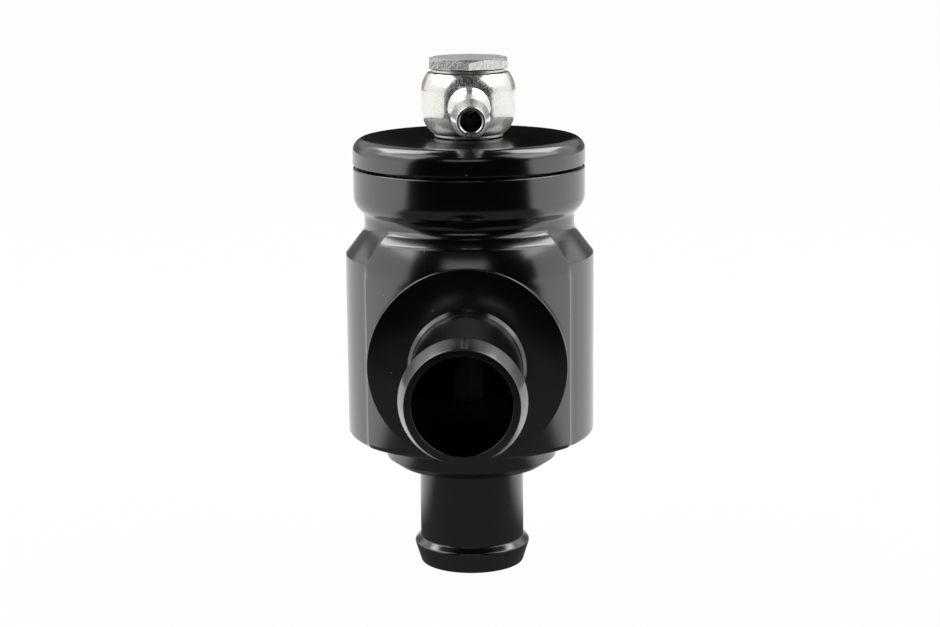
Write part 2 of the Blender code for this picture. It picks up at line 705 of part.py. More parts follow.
def make_piston(axis, finish):
    """A cup: face with a groove for its seal, three ring grooves, spring pilot on its floor."""
    floor = PISTON_BOTTOM + PISTON_FLOOR
    inner = PISTON_RADIUS - PISTON_WALL
    face_inner = SEAT_RADIUS - FACE_SEAL_WIDTH / 2 - RING_GAP
    face_outer = SEAT_RADIUS + FACE_SEAL_WIDTH / 2 + RING_GAP
    outline = [
        (0.0, PISTON_BOTTOM),
        (face_inner, PISTON_BOTTOM),
        (face_inner, PISTON_BOTTOM + FACE_SEAL_DEPTH),
        (face_outer, PISTON_BOTTOM + FACE_SEAL_DEPTH),
        (face_outer, PISTON_BOTTOM),
        (PISTON_RADIUS - EDGE_BREAK, PISTON_BOTTOM),
        (PISTON_RADIUS, PISTON_BOTTOM + EDGE_BREAK),
    ]
    groove_floor = PISTON_BORE_RADIUS - O_RING_GROOVE_DEPTH
    for bottom, top in reversed(piston_grooves()):
        outline += [
            (PISTON_RADIUS, bottom),
            (groove_floor, bottom),
            (groove_floor, top),
            (PISTON_RADIUS, top),
        ]
    outline += [
        (PISTON_RADIUS, PISTON_TOP),
        (inner, PISTON_TOP),
        (inner, floor),
        (SPRING_PILOT_RADIUS, floor),
        (SPRING_PILOT_RADIUS, floor + SPRING_PILOT_HEIGHT),
        (0.0, floor + SPRING_PILOT_HEIGHT),
    ]
    turned("piston", outline, COARSE_SEGMENTS, axis, finish)


def make_piston_rings(axis, rubber, plastic):
    grooves = piston_grooves()
    floor = PISTON_BORE_RADIUS - O_RING_GROOVE_DEPTH
    for name, (bottom, top) in zip(("piston_guide_ring_upper", "piston_guide_ring_lower"), grooves[::2]):
        outline = [
            (floor + RING_GAP, bottom + RING_GAP),
            (PISTON_BORE_RADIUS - RING_GAP / 2, bottom + RING_GAP),
            (PISTON_BORE_RADIUS - RING_GAP / 2, top - RING_GAP),
            (floor + RING_GAP, top - RING_GAP),
        ]
        turned(name, outline, SMALL_SEGMENTS, axis, plastic, 2 * math.pi - GUIDE_SLIT)
    seal_bottom, seal_top = grooves[1]
    ring(
        "piston_seal",
        PISTON_BORE_RADIUS - O_RING_GROOVE_DEPTH / 2,
        O_RING_GROOVE_DEPTH - 2 * RING_GAP,
        (seal_bottom + seal_top) / 2,
        axis,
        rubber,
    )
    flat_ring(
        "piston_face_seal",
        SEAT_RADIUS - FACE_SEAL_WIDTH / 2,
        SEAT_RADIUS + FACE_SEAL_WIDTH / 2,
        FACE_SEAL_BOTTOM,
        PISTON_BOTTOM + FACE_SEAL_DEPTH - RING_GAP,
        axis,
        rubber,
        COARSE_SEGMENTS,
    )


def make_spring(axis, finish):
    """Coil spring of round wire, its last turns closed up, from the piston's floor to the thrust washer."""
    bottom = PISTON_BOTTOM + PISTON_FLOOR + SEAT_GAP + SPRING_WIRE / 2
    top = CROWN_BOTTOM - SEAT_GAP - THRUST_WASHER_THICKNESS - SEAT_GAP - SPRING_WIRE / 2
    end_rise = SPRING_END_TURNS * (SPRING_WIRE + RUNNING_FIT)
    open_turns = SPRING_TURNS - 2 * SPRING_END_TURNS
    open_rise = top - bottom - 2 * end_rise
    count = round(SPRING_TURNS * SPRING_SEGMENTS)
    curve = bpy.data.curves.new("spring", "CURVE")
    curve.dimensions = "3D"
    curve.bevel_depth = SPRING_WIRE / 2
    curve.bevel_resolution = 1
    curve.use_fill_caps = True
    wire = curve.splines.new("POLY")
    wire.points.add(count)
    for step in range(count + 1):
        turn = SPRING_TURNS * step / count
        if turn < SPRING_END_TURNS:
            height = bottom + end_rise * turn / SPRING_END_TURNS
        elif turn > SPRING_TURNS - SPRING_END_TURNS:
            height = top - end_rise * (SPRING_TURNS - turn) / SPRING_END_TURNS
        else:
            height = bottom + end_rise + open_rise * (turn - SPRING_END_TURNS) / open_turns
        angle = 2 * math.pi * turn
        across = SPRING_RADIUS * math.cos(angle)
        along = SPRING_RADIUS * math.sin(angle)
        wire.points[step].co = (across, along, height, 1.0)
    spring = bpy.data.objects.new("spring", curve)
    curve.materials.append(finish)
    spring.parent = axis
    bpy.context.collection.objects.link(spring)


def make_thrust_washer(axis, finish):
    top = CROWN_BOTTOM - SEAT_GAP
    flat_ring(
        "spring_thrust_washer",
        SPRING_PILOT_RADIUS + RUNNING_FIT,
        SPRING_RADIUS + SPRING_WIRE,
        top - THRUST_WASHER_THICKNESS,
        top,
        axis,
        finish,
    )


def make_banjo_bolt(axis, finish):
    """Hollow bolt: low hexagonal head, plain shank, airway up its middle and a hole across it."""
    airway_top = NIPPLE_AXIS + BOLT_CROSS_HOLE_RADIUS + EDGE_BREAK
    face_radius = BOLT_ACROSS_FLATS / 2 - BOLT_WASHER_FACE_MARGIN
    outline = [
        (0.0, airway_top),
        (BOLT_AIRWAY_RADIUS, airway_top),
        (BOLT_AIRWAY_RADIUS, BOLT_BOTTOM),
        (BOLT_SHANK_RADIUS - EDGE_BREAK, BOLT_BOTTOM),
        (BOLT_SHANK_RADIUS, BOLT_BOTTOM + EDGE_BREAK),
        (BOLT_SHANK_RADIUS, BOLT_HEAD_BOTTOM),
        (face_radius, BOLT_HEAD_BOTTOM),
        (face_radius, BOLT_HEAD_BOTTOM + 2 * BOLT_WASHER_FACE),
        (0.0, BOLT_HEAD_BOTTOM + 2 * BOLT_WASHER_FACE),
    ]
    bolt = turned("banjo_bolt", outline, COARSE_SEGMENTS, axis, finish)
    combine(bolt, hexagon_head(axis), "UNION")
    cross = turned(
        "cross_hole",
        [
            (0.0, -2 * BOLT_SHANK_RADIUS),
            (BOLT_CROSS_HOLE_RADIUS, -2 * BOLT_SHANK_RADIUS),
            (BOLT_CROSS_HOLE_RADIUS, 2 * BOLT_SHANK_RADIUS),
            (0.0, 2 * BOLT_SHANK_RADIUS),
        ],
        HOLE_SEGMENTS,
        axis,
    )
    point_at_minus_y(cross, NIPPLE_AXIS)
    combine(bolt, cross, "DIFFERENCE")


def hexagon_head(axis):
    """A hexagon whose top corners are turned away by a cone."""
    bottom = BOLT_HEAD_BOTTOM + BOLT_WASHER_FACE
    top = BOLT_HEAD_BOTTOM + BOLT_HEAD_HEIGHT
    corner = BOLT_ACROSS_FLATS / math.sqrt(3)
    builder = bmesh.new()
    made = bmesh.ops.create_cone(
        builder, cap_ends=True, segments=HEXAGON_SIDES, radius1=corner, radius2=corner, depth=top - bottom
    )
    bmesh.ops.translate(builder, verts=made["verts"], vec=(0.0, 0.0, (top + bottom) / 2))
    head = finished("hexagon_head", builder, axis, None)
    head.rotation_euler = (0.0, 0.0, BOLT_HEAD_TURN)
    inner = BOLT_ACROSS_FLATS / 2 - BOLT_HEAD_TOP_MARGIN
    outer = corner + EDGE_BREAK
    drop = (outer - inner) * BOLT_HEAD_CHAMFER / (corner - inner)
    envelope = turned(
        "head_envelope",
        [
            (0.0, top),
            (inner, top),
            (outer, top - drop),
            (outer, bottom - EDGE_BREAK),
            (0.0, bottom - EDGE_BREAK),
        ],
        HEAD_SEGMENTS,
        axis,
    )
    combine(head, envelope, "INTERSECT")
    return head


def ball_side(reach):
    """Points of the ball's side from its widest part to one end, as radius and distance."""
    half_flat = BANJO_CREST / 2
    side = []
    for step in range(BALL_LEVELS + 1):
        rise = (reach - half_flat) * step / BALL_LEVELS
        fall = BANJO_ROUNDING - math.sqrt(BANJO_ROUNDING ** 2 - rise ** 2)
        side.append((BANJO_RADIUS - fall, half_flat + rise))
    return side


def make_banjo_fitting(axis, finish):
    """A barrel shaped ball with a gallery round the bolt, and a hose nipple bored into the gallery."""
    lower = ball_side(BANJO_WIDEST - BANJO_BOTTOM)
    upper = ball_side(BANJO_TOP - BANJO_WIDEST)
    outline = [(0.0, BANJO_BOTTOM)]
    outline += [(radius, BANJO_WIDEST - rise) for radius, rise in reversed(lower)]
    outline += [(radius, BANJO_WIDEST + rise) for radius, rise in upper]
    outline.append((0.0, BANJO_TOP))
    fitting = turned("banjo_fitting", outline, FINE_SEGMENTS, axis, finish)

    barb_start = NIPPLE_TIP - NIPPLE_BARB_LENGTH
    nipple = turned(
        "hose_nipple",
        [
            (0.0, BANJO_GALLERY_RADIUS + CUT_MARGIN),
            (NIPPLE_ROOT_RADIUS, BANJO_GALLERY_RADIUS + CUT_MARGIN),
            (NIPPLE_ROOT_RADIUS, NIPPLE_ROOT_END),
            (NIPPLE_STEM_RADIUS, NIPPLE_ROOT_END + NIPPLE_ROOT_TAPER, NIPPLE_ROOT_ROUNDING),
            (NIPPLE_STEM_RADIUS, barb_start - NIPPLE_BARB_BACK),
            (NIPPLE_BARB_RADIUS, barb_start, NIPPLE_EDGE_ROUNDING),
            (NIPPLE_TIP_RADIUS, NIPPLE_TIP, NIPPLE_EDGE_ROUNDING),
            (0.0, NIPPLE_TIP),
        ],
        SMALL_SEGMENTS,
        axis,
    )
    point_at_minus_y(nipple, NIPPLE_AXIS, BANJO_TURN)
    combine(fitting, nipple, "UNION")

    gallery_low = NIPPLE_AXIS - BANJO_GALLERY_HEIGHT / 2
    gallery_high = NIPPLE_AXIS + BANJO_GALLERY_HEIGHT / 2
    gallery = turned(
        "bolt_gallery",
        [
            (0.0, BANJO_BOTTOM - CUT_MARGIN),
            (BOLT_HOLE_RADIUS, BANJO_BOTTOM - CUT_MARGIN),
            (BOLT_HOLE_RADIUS, gallery_low),
            (BANJO_GALLERY_RADIUS, gallery_low),
            (BANJO_GALLERY_RADIUS, gallery_high),
            (BOLT_HOLE_RADIUS, gallery_high),
            (BOLT_HOLE_RADIUS, BANJO_TOP + CUT_MARGIN),
            (0.0, BANJO_TOP + CUT_MARGIN),
        ],
        SMALL_SEGMENTS,
        axis,
    )
    combine(fitting, gallery, "DIFFERENCE")
    airway = turned(
        "nipple_airway",
        [
            (0.0, BOLT_SHANK_RADIUS),
            (NIPPLE_BORE_RADIUS, BOLT_SHANK_RADIUS),
            (NIPPLE_BORE_RADIUS, NIPPLE_TIP + CUT_MARGIN),
            (0.0, NIPPLE_TIP + CUT_MARGIN),
        ],
        NIPPLE_HOLE_SEGMENTS,
        axis,
    )
    point_at_minus_y(airway, NIPPLE_AXIS, BANJO_TURN)
    combine(fitting, airway, "DIFFERENCE")


def make_banjo_washers(axis, finish):
    inner = BOLT_HOLE_RADIUS
    for name, outer, bottom, thickness in (
        ("banjo_lower_washer", LOWER_WASHER_RADIUS, LOWER_WASHER_BOTTOM, LOWER_WASHER_THICKNESS),
        ("banjo_upper_washer", UPPER_WASHER_RADIUS, UPPER_WASHER_BOTTOM, UPPER_WASHER_THICKNESS),
    ):
        flat_ring(name, inner, outer, bottom, bottom + thickness, axis, finish, COARSE_SEGMENTS)


def main():
    clear_scene()
    anodised = material("black_anodised", (0.012, 0.012, 0.013), 0.6, 0.25)
    nickel = material("nickel_plate", (0.72, 0.70, 0.66), 1.0, 0.18)
    bare = material("hard_anodised_piston", (0.2, 0.2, 0.21), 0.8, 0.35)
    steel = material("spring_steel", (0.45, 0.45, 0.46), 1.0, 0.3)
    rubber = material("black_rubber", (0.02, 0.02, 0.02), 0.0, 0.6)
    plastic = material("guide_plastic", (0.16, 0.13, 0.1), 0.0, 0.5)
    axis = bpy.data.objects.new("valve_axis", None)
    axis.location = (0.0, AXIS_Y, 0.0)
    bpy.context.collection.objects.link(axis)
    make_body(axis, anodised)
    make_cap(axis, anodised)
    make_inlet_fitting(axis, anodised)
    make_outlet_fitting(axis, anodised)
    make_piston(axis, bare)
    make_piston_rings(axis, rubber, plastic)
    make_spring(axis, steel)
    make_thrust_washer(axis, steel)
    make_banjo_bolt(axis, nickel)
    make_banjo_fitting(axis, nickel)
    make_banjo_washers(axis, steel)
    make_cap_o_ring(axis, rubber)
    make_inlet_o_ring(axis, rubber)
    make_outlet_seal(axis, rubber)


main()
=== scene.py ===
"""Blow off valve: the finished look of its housing, hose barbs, banjo fitting and inner parts.

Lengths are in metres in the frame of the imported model. The valve's axis is upright and the outlet
barb points towards -Y.
"""

import json
import math

import bmesh
import bpy
from mathutils import Matrix, Vector


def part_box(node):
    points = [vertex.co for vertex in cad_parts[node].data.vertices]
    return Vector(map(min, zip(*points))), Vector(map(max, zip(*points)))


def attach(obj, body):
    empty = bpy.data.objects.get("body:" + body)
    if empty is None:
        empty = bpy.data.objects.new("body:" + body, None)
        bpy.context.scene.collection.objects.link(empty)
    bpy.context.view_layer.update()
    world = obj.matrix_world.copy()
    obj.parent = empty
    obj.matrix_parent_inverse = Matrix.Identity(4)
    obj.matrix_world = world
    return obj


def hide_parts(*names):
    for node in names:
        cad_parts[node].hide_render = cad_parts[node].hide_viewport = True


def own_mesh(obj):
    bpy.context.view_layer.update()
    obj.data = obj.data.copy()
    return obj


bl_info = {
    "name": "Blow Off Valve",
    "version": (1, 0, 0),
    "blender": (4, 5, 0),
    "location": "3D View > Sidebar > Valve",
    "description": "Builds a blow off valve with hose barbs and a swivelling banjo hose nipple",
    "category": "Object",
}

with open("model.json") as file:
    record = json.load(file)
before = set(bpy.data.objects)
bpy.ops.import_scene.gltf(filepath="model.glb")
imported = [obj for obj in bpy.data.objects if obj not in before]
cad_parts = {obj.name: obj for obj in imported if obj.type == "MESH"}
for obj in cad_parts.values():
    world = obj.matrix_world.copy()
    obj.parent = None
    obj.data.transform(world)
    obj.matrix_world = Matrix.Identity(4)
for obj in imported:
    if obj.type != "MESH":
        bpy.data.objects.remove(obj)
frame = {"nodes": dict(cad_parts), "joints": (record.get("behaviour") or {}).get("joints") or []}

MM = 0.001
WHITE = (1.0, 1.0, 1.0, 1.0)

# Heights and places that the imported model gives
CAP_LOW, CAP_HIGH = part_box("cap")
BODY_LOW, BODY_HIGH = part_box("valve_body")
INLET_LOW, INLET_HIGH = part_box("inlet_fitting")
OUTLET_LOW, OUTLET_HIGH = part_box("outlet_fitting")
BALL_LOW, BALL_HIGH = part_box("banjo_fitting")
BOLT_LOW, BOLT_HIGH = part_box("banjo_bolt")
SPRING_LOW, SPRING_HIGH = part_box("spring")
AXIS_Y = (INLET_LOW.y + INLET_HIGH.y) / 2
PORT_HEIGHT = (OUTLET_LOW.z + OUTLET_HIGH.z) / 2
OUTLET_END = AXIS_Y - OUTLET_LOW.y
BODY_BOTTOM = BODY_LOW.z
BODY_TOP = BODY_HIGH.z
BODY_HEIGHT = BODY_TOP - BODY_BOTTOM
CAP_TOP = CAP_HIGH.z
CAP_SPIGOT_BOTTOM = CAP_LOW.z
SEAT_TOP = INLET_HIGH.z

# Sizes that pieces share
CLEARANCE = 0.2 * MM
TOOL_MARGIN = 1.0 * MM
PISTON_BORE = 17.0 * MM
PORT_LEDGE = 1.6 * MM
OUTLET_SEAL_HEIGHT = 0.8 * MM
BOLT_HOLE = 5.2 * MM
GROOVE_START = 2.6 * MM
GROOVE_WIDTH = 2.2 * MM
GROOVE_DEPTH = 1.7 * MM
NIPPLE_HEIGHT = BALL_LOW.z + 6.8 * MM

# Body: depths under the barrel's radius, drops from its top, and roundings
COLLAR_DEPTH = 2.6 * MM
NECK_DEPTH = 5.1 * MM
COLLAR_EDGE = 0.35 * MM
COLLAR_DROP = 8.5 * MM
COLLAR_ROUNDING = 4.4 * MM
WAIST_ROUNDING = 2.0 * MM
NECK_START = 11.85 * MM
FRONT_NECK_DROP = 13.2 * MM
FRONT_NECK_ROUNDING = 2.6 * MM
CREASE_DROP = 15.6 * MM
CREASE_ROUNDING = 1.9 * MM
LIP_HEIGHT = 0.55 * MM
LIP_RISE = 0.2 * MM
FRONT_DROP = 25.0 * MM
SIDE_NECK_DROP = 14.64 * MM
SIDE_NECK_ROUNDING = 3.0 * MM
PANEL_DROP = 20.6 * MM
PANEL_ROUNDING = 0.8 * MM
BOTTOM_ROUNDING = 1.4 * MM
PORT_EDGE = 0.3 * MM

# Body: where the front ends and the side panels begin, as angles from the outlet
CREASE_EDGE = math.radians(46.8)
CREASE_BLEND_END = math.radians(75)
PANEL_EDGE = math.radians(51.6)
PANEL_BLEND_END = math.radians(57.2)
CORNER_FALL = 3

# Columns of a quarter of the body, its levels, and how finely round forms are divided
FRONT_COLUMNS = 30
CORNER_COLUMNS = 14
PANEL_COLUMNS = 14
FRONT_LEVELS = 20
LEAST_LEVEL = 0.03 * MM
FACET = math.radians(7)
FINE_FACET = math.radians(4)
BOTTOM_FACETS = 10
PORT_EDGE_FACETS = 4
PORT_FACETS = 192
BALL_LEVELS = 14
WIRE_FACETS = 14
WIRE_POINTS = 420
CLOSED_PITCH = 2.2
FITTING_FACETS = 96

# Turns of the nipple from straight ahead, and of the bolt's head
NIPPLE_SWING = math.radians(2.4)
HEAD_TURN = math.radians(30 + 2.3)

# Turned pieces are drawn this far out from the axis, and the sweep puts them back
SWEEP_RADIUS = 1.0 * MM
WELD = 0.001 * MM

# Floor's painted glow that polished metal sees: how far its dim part in front reaches back on the
# axis, and how its edges run forward
FLOOR_REACH = 4.0
DIM_REACH = 0.061
DIM_SLOPE = 0.64
DIM_TURN = 0.06
DIM_BLUR = 0.025
DIM_LEVEL = 0.12
BRIGHT_LEVEL = 1.15

# Lamps, one on each side: name, angle from the front, elevation, distance, width, height, power
LAMPS = (
    ("soft_box", 80.0, 42.0, 0.9, 0.78, 0.62, 2.2),
    ("high_box", 120.0, 54.0, 0.9, 0.5, 0.5, 3.1),
    ("back_box", 154.0, 33.0, 1.0, 0.75, 0.62, 0.45),
)
LAMP_AIM = 0.07

# Room that polished metal sees: how dark it is, its rear corners, and the turn of its walls
ROOM_LEVEL = 0.004
CORNER_LEVEL = 0.25
WALL_TURN = 0.08

# Camera: its place from the valve's axis and the body's top, its turns, and its lens
CAMERA_ASIDE = 14.36 * MM
CAMERA_DISTANCE = 499.15 * MM
CAMERA_ABOVE_BODY = 65.5 * MM
CAMERA_YAW = -0.0289
CAMERA_PITCH = 0.2002
CAMERA_ROLL = -0.0090
SENSOR_WIDTH = 36.0
PHOTO_WIDTH = 940
FOCAL_LENGTH = 2125.1 * SENSOR_WIDTH / PHOTO_WIDTH


def measure(name, description, default):
    """A size that the user can change."""
    return bpy.props.FloatProperty(
        name=name, description=description, default=default, unit="LENGTH", precision=5
    )


class HousingSizes(bpy.types.PropertyGroup):
    facets: bpy.props.IntProperty(
        name="Facets", description="Facets round a turned piece", default=160, min=24
    )
    body_radius: measure("Body Radius", "Radius of the main barrel", 30.0 * MM)
    panel_depth: measure("Panel Depth", "How far the side panels lie under the barrel", 0.5 * MM)
    crease_depth: measure(
        "Crease Depth", "How far the front's rounding draws in up to its crease", 2.0 * MM
    )
    port_face_radius: measure(
        "Port Face Radius", "Radius of the round face that the outlet stands on", 22.9 * MM
    )
    port_face_depth: measure(
        "Port Face Depth", "How far the round face lies behind the barrel's front", 1.0 * MM
    )
    hose_radius: measure(
        "Hose Radius", "Outer radius of the tubes that the hoses go over", 12.5 * MM
    )
    hose_bore_radius: measure("Hose Bore Radius", "Inner radius of the hose tubes", 10.8 * MM)


class FittingSizes(bpy.types.PropertyGroup):
    bolt_across_flats: measure("Across Flats", "Width of the bolt's hexagon", 18.2 * MM)
    nipple_bore_radius: measure(
        "Nipple Bore Radius", "Radius of the hole through the hose nipple", 2.43 * MM
    )
    spring_wire: measure("Spring Wire", "Diameter of the spring's wire", 2.2 * MM)
    spring_turns: bpy.props.FloatProperty(
        name="Spring Turns", description="Turns of the spring, closed ones included", default=7.5
    )


class FinishColours(bpy.types.PropertyGroup):
    anodised: bpy.props.FloatVectorProperty(
        name="Anodised", description="Black of the anodised aluminium", subtype="COLOR", size=3,
        default=(0.0014, 0.0015, 0.0015), min=0.0, max=1.0,
    )
    nickel: bpy.props.FloatVectorProperty(
        name="Nickel", description="Colour of the nickel plate", subtype="COLOR", size=3,
        default=(0.84, 0.83, 0.79), min=0.0, max=1.0,
    )
    dust: bpy.props.FloatVectorProperty(
        name="Dust", description="Colour of the dust specks", subtype="COLOR", size=3,
        default=(0.32, 0.31, 0.29), min=0.0, max=1.0,
    )


# Node trees


class Graph:
    """A node tree under construction, whose nodes all come from one method."""

    def __init__(self, tree):
        self.tree = tree

    def node(self, kind, settings=None, sockets=None, output=0):
        made = self.tree.nodes.new(kind)
        for name, value in (settings or {}).items():
            setattr(made, name, value)
        for name, value in (sockets or {}).items():
            if isinstance(value, Flow):
                self.tree.links.new(value.socket, made.inputs[name])
            else:
                made.inputs[name].default_value = value
        return None if output is None else Flow(self, made.outputs[output])

    def maths(self, operation, *values):
        return self.node("ShaderNodeMath", {"operation": operation}, dict(enumerate(values)))


class Flow:
    """A value on its way through a tree's nodes; sums on it add Math nodes."""

    def __init__(self, graph, socket):
        self.graph = graph
        self.socket = socket

    def __add__(self, other):
        return self.graph.maths("ADD", self, other)

    def __radd__(self, other):
        return self.graph.maths("ADD", other, self)

    def __sub__(self, other):
        return self.graph.maths("SUBTRACT", self, other)

    def __rsub__(self, other):
        return self.graph.maths("SUBTRACT", other, self)

    def __mul__(self, other):
        return self.graph.maths("MULTIPLY", self, other)

    def __rmul__(self, other):
        return self.graph.maths("MULTIPLY", other, self)

    def __truediv__(self, other):
        return self.graph.maths("DIVIDE", self, other)

    def __gt__(self, other):
        return self.graph.maths("GREATER_THAN", self, other)

    def __lt__(self, other):
        return self.graph.maths("LESS_THAN", self, other)

    def __abs__(self):
        return self.graph.maths("ABSOLUTE", self)


class Growth(Graph):
    """A geometry tree under construction, with named inputs."""

    def __init__(self, name, inputs):
        super().__init__(bpy.data.node_groups.new(name, "GeometryNodeTree"))
        add_socket = self.tree.interface.new_socket
        self.identifiers = {}
        for label, kind in inputs.items():
            socket = add_socket(label, in_out="INPUT", socket_type=f"NodeSocket{kind}")
            self.identifiers[label] = socket.identifier
        add_socket("Geometry", in_out="OUTPUT", socket_type="NodeSocketGeometry")
        entry = self.tree.nodes.new("NodeGroupInput")
        self.given = {label: Flow(self, entry.outputs[label]) for label in inputs}

    def circle(self, facets, radius):
        sockets = {"Resolution": facets, "Radius": radius}
        return self.node("GeometryNodeCurvePrimitiveCircle", sockets=sockets)

    def sweep(self, path, outline, caps=False):
        sockets = {"Curve": path, "Profile Curve": outline, "Fill Caps": caps}
        return self.node("GeometryNodeCurveToMesh", sockets=sockets)

    def close(self, geometry):
        """Every tree ends in real geometry with its material on it."""
        real = self.node("GeometryNodeRealizeInstances", sockets={0: geometry})
        paint = {0: real, "Material": self.given["Finish"]}
        painted = self.node("GeometryNodeSetMaterial", sockets=paint)
        self.node("NodeGroupOutput", sockets={0: painted}, output=None)
        return self


# Shapes


def unit(x, y):
    length = math.hypot(x, y)
    return (x / length, y / length)


def rounded(corners, facet=FACET):
    """An outline of (radius, height) points; a third value in a point rounds that corner."""
    outline = []
    for index, corner in enumerate(corners):
        if len(corner) == 2:
            outline.append(corner)
            continue
        before = corners[index - 1]
        after = corners[(index + 1) % len(corners)]
        outline.extend(arc_at(before, corner, after, facet))
    return outline


def arc_at(before, corner, after, facet):
    """The points of the arc that rounds one corner of an outline."""
    x, y, radius = corner
    back = unit(before[0] - x, before[1] - y)
    on = unit(after[0] - x, after[1] - y)
    opening = math.acos(max(-1.0, min(1.0, back[0] * on[0] + back[1] * on[1])))
    reach = radius / math.tan(opening / 2)
    middle = unit(back[0] + on[0], back[1] + on[1])
    distance = radius / math.sin(opening / 2)
    centre = (x + middle[0] * distance, y + middle[1] * distance)
    start = math.atan2(y + back[1] * reach - centre[1], x + back[0] * reach - centre[0])
    turn = (math.pi - opening) * (-1 if back[0] * on[1] - back[1] * on[0] > 0 else 1)
    steps = max(2, math.ceil(abs(turn) / facet))
    angles = [start + turn * step / steps for step in range(steps + 1)]
    return [(centre[0] + radius * math.cos(a), centre[1] + radius * math.sin(a)) for a in angles]


def edge_steps(rounding, facets):
    """How far in and how far back each step round a square edge lies."""
    for step in range(facets + 1):
        turn = math.radians(90) * step / facets
        yield rounding * (1.0 - math.cos(turn)), rounding * (1.0 - math.sin(turn))


def turning_tree():
    """Sweeps an outline round a circle, as a lathe would turn it."""
    tree = Growth("Turned piece", {"Outline": "Geometry", "Facets": "Int", "Finish": "Material"})
    outline = tree.node("GeometryNodeMeshToCurve", sockets={0: tree.given["Outline"]})
    swept = tree.sweep(tree.circle(tree.given["Facets"], SWEEP_RADIUS), outline)
    welded = tree.node("GeometryNodeMergeByDistance", sockets={0: swept, "Distance": WELD})
    return tree.close(welded)


def coil_tree():
    """A coil of round wire whose end turns are closed up."""
    tree = Growth("Coil spring", {
        "Seat": "Geometry", "Coil Radius": "Float", "Wire Radius": "Float", "Turns": "Float",
        "Closed Turns": "Float", "Bottom": "Float", "Top": "Float", "Points": "Int",
        "Finish": "Material",
    })
    given = tree.given
    turns, closed_turns, wire_radius = given["Turns"], given["Closed Turns"], given["Wire Radius"]
    line = tree.node("GeometryNodeCurvePrimitiveLine", sockets={"End": (0.0, 0.0, 1.0)})
    sampling = {"Curve": line, "Count": given["Points"]}
    points = tree.node("GeometryNodeResampleCurve", sockets=sampling)
    turn = tree.node("GeometryNodeSplineParameter") * turns
    angle = turn * (2 * math.pi)
    end_rise = closed_turns * (wire_radius * CLOSED_PITCH)
    open_end = turns - closed_turns
    opening = {
        "Value": turn,
        "From Min": closed_turns,
        "From Max": open_end,
        "To Min": 0.0,
        "To Max": given["Top"] - given["Bottom"] - end_rise * 2.0,
    }
    rise = tree.node("ShaderNodeMapRange", {"clamp": True}, opening)
    from_start = tree.maths("MINIMUM", turn, closed_turns)
    from_end = tree.maths("MAXIMUM", turn - open_end, 0.0)
    ends = (from_start + from_end) / closed_turns * end_rise
    helix = {
        0: given["Coil Radius"] * tree.maths("COSINE", angle),
        1: given["Coil Radius"] * tree.maths("SINE", angle),
        2: given["Bottom"] + ends + rise,
    }
    place = tree.node("ShaderNodeCombineXYZ", sockets=helix)
    coil = tree.node("GeometryNodeSetPosition", sockets={0: points, "Position": place})
    return tree.close(tree.sweep(coil, tree.circle(WIRE_FACETS, wire_radius), caps=True))


def shown(name, data):
    """A new object of the scene that carries a mesh, a lamp or a camera."""
    thing = bpy.data.objects.new(name, data)
    bpy.context.scene.collection.objects.link(thing)
    return thing


def grown(start, name, tree_maker, values):
    """The plain mesh that a geometry tree makes of a starting mesh."""
    stem = shown(name, start)
    growth = tree_maker()
    modifier = stem.modifiers.new(growth.tree.name, "NODES")
    modifier.node_group = growth.tree
    for label, value in values.items():
        modifier[growth.identifiers[label]] = value
    depsgraph = bpy.context.evaluated_depsgraph_get()
    mesh = bpy.data.meshes.new_from_object(stem.evaluated_get(depsgraph))
    stem.modifiers.remove(modifier)
    bpy.data.objects.remove(stem)
    bpy.data.node_groups.remove(growth.tree)
    return mesh


def on_axis(mesh, laid, height=None, swing=0.0):
    """Moves a mesh to the valve's axis; a laid one points to -Y, at a height or the outlet's."""
    if laid:
        mesh.transform(Matrix.Rotation(swing, 4, "Z") @ Matrix.Rotation(math.radians(90), 4, "X"))
    if height is None:
        height = PORT_HEIGHT if laid else 0.0
    mesh.transform(Matrix.Translation((0.0, AXIS_Y, height)))


def turned(name, corners, facets, finish, laid=False):
    """A turned piece on the valve's axis, or laid down on the outlet's."""
    points = [(radius - SWEEP_RADIUS, -level, 0.0) for radius, level in rounded(corners)]
    start = bpy.data.meshes.new(name)
    start.from_pydata(points, [(i, (i + 1) % len(points)) for i in range(len(points))], [])
    mesh = grown(start, name, turning_tree, {"Facets": facets, "Finish": finish})
    on_axis(mesh, laid)
    return piece(name, mesh)


def skinned(name, rings, finish):
    """A closed mesh through rings of points, from the first ring to the last."""
    builder = bmesh.new()
    rings = [[builder.verts.new(point) for point in ring] for ring in rings]
    for first, second in zip(rings, rings[1:]):
        for index, point in enumerate(first):
            following = (index + 1) % len(first)
            builder.faces.new((point, first[following], second[following], second[index]))
    builder.faces.new(rings[0])
    builder.faces.new(rings[-1])
    mesh = bpy.data.meshes.new(name)
    builder.to_mesh(mesh)
    builder.free()
    mesh.materials.append(finish)
    return mesh


def turns_of(facets):
    return [2 * math.pi * step / facets for step in range(facets)]


def plug(name, outline, facets, finish, laid=False, height=None, swing=0.0):
    """A solid form from the outside of an outline, closed on the axis."""
    rings = [
        [(radius * math.cos(turn), radius * math.sin(turn), level) for turn in turns_of(facets)]
        for radius, level in outline
    ]
    mesh = skinned(name, rings, finish)
    on_axis(mesh, laid, height, swing)
    return piece(name, mesh)


def piece(name, mesh):
    """Links a mesh as a shown object with its faces pointing out."""
    builder = bmesh.new()
    builder.from_mesh(mesh)
    bmesh.ops.remove_doubles(builder, verts=builder.verts, dist=WELD)
    bmesh.ops.recalc_face_normals(builder, faces=builder.faces)
    builder.to_mesh(mesh)
    builder.free()
    return shown(name, mesh)


